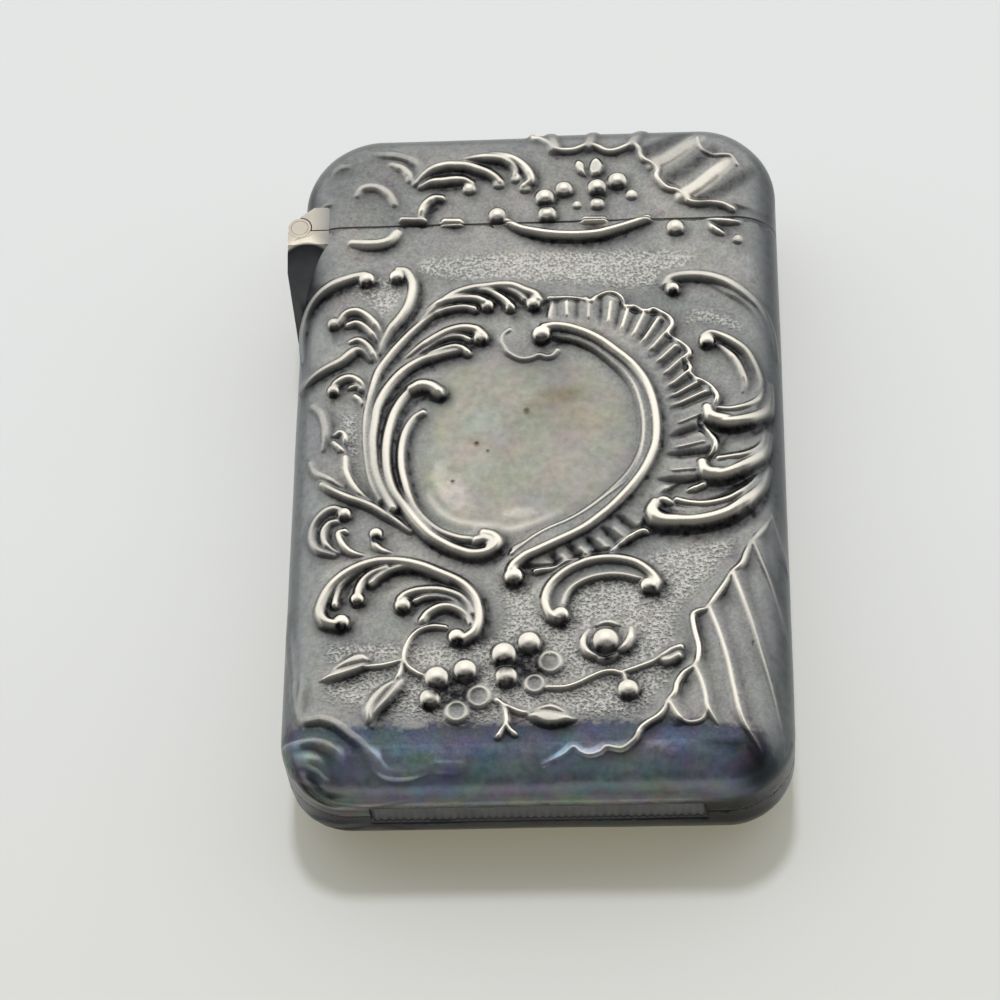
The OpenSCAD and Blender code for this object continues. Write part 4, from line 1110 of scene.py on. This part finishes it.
# Striker
# A strip of dark steel with fine ribs across it, for striking the matches.
# It is let into the slot in the near end and lies on its seat.
striker_steel = plain_metal("striker_steel", (0.22, 0.22, 0.23), roughness=0.5, scale=600)
finished(striker_steel, "striker")

# Floor, light and camera
# A plain pale sheet under soft light from behind and above, seen from the photograph's angle.
# The sheet is a little warmer and brighter to the eye than the light on it gives.
bm = bmesh.new()
bmesh.ops.create_grid(bm, x_segments=1, y_segments=1, size=3)
floor_mesh = bpy.data.meshes.new("floor")
bm.to_mesh(floor_mesh)
bm.free()
floor = placed("floor", floor_mesh)
paper, tree, shader = new_material("pale_paper")
# The sheet darkens towards the near side, a painted broad shadow in front of the case.
back_to_front = sums(tree, "MULTIPLY_ADD", own_axes(tree)["Y"], 10, 0.5)
sheet_with_shade = ramp(tree, back_to_front, [(0, (0.415, 0.43, 0.45)), (0.5, (0.455, 0.475, 0.515))])
tree.links.new(sheet_with_shade, shader.inputs["Base Color"])
shader.inputs["Roughness"].default_value = 0.9
shader.inputs["Emission Color"].default_value = (1.0, 0.93, 0.62, 1)
path = node(tree, "ShaderNodeLightPath")
seen = sums(tree, "MAXIMUM", path.outputs["Is Camera Ray"], path.outputs["Is Glossy Ray"])
sheet_glow = 0.19
tree.links.new(sums(tree, "MULTIPLY", seen, sheet_glow), shader.inputs["Emission Strength"])
floor.data.materials.append(paper)

# A soft window lamp behind the case gives it the shadow at its near end; metal does not mirror it.
lamp = bpy.data.lights.new("window", "SUN")
lamp.energy = 1.75
lamp.angle = math.radians(7)
window = placed("window", lamp)
window.rotation_euler = (math.radians(-25), 0, 0)
window.visible_glossy = False

# The room is lighter on the far side, with a dark stretch on the near side that the metal mirrors.
world = bpy.data.worlds.new("soft_room")
bpy.context.scene.world = world
world.use_nodes = True
tree = world.node_tree
sky = tree.nodes["Background"]
where = node(tree, "ShaderNodeTexCoord")


def towards(degrees, side):
    """How nearly a direction of the sky points at one height on the far or the near side, from 0 to 1."""
    made = node(tree, "ShaderNodeVectorMath", operation="DOT_PRODUCT")
    tree.links.new(where.outputs["Generated"], made.inputs[0])
    a = math.radians(degrees)
    made.inputs[1].default_value = (0.0, side * math.cos(a), math.sin(a))
    return sums(tree, "MULTIPLY_ADD", made.outputs["Value"], 0.5, 0.5)


glow = ramp(tree, towards(15, 1), [(0, 0.45), (0.5, 0.65), (0.75, 1), (1, 1)])
shade = ramp(tree, towards(40, -1), [(0.69, 1), (0.73, 0.24), (1, 0.24)])
room = mixed(tree, 1.0, glow, shade, "MULTIPLY")
path = node(tree, "ShaderNodeLightPath")
pale = (0.43, 0.44, 0.445)
tree.links.new(mixed(tree, path.outputs["Is Camera Ray"], room, pale), sky.inputs["Color"])
sky.inputs["Strength"].default_value = 1.52

camera_data = bpy.data.cameras.new("camera")
camera = placed("camera", camera_data)
bpy.context.scene.camera = camera
camera_data.sensor_fit = "HORIZONTAL"
camera_data.sensor_width = 36
camera_data.lens = 115.87
camera_data.clip_start = 0.02
turn = math.radians(7.221)
rise = math.radians(60)
roll = math.radians(-7.596)
distance = 263.16
target = Vector((-3.2697 + middle_x, -2.9757, joint_z))
away = Vector((math.sin(turn) * math.cos(rise), -math.cos(turn) * math.cos(rise), math.sin(rise)))
level_right = Vector((math.cos(turn), math.sin(turn), 0))
level_up = away.cross(level_right)
right = math.cos(roll) * level_right + math.sin(roll) * level_up
up = -math.sin(roll) * level_right + math.cos(roll) * level_up
stand = Matrix((right, up, away)).transposed().to_4x4()
stand.translation = (target + distance * away) * MM
camera.matrix_world = stand

bpy.context.scene.view_settings.view_transform = "Standard"
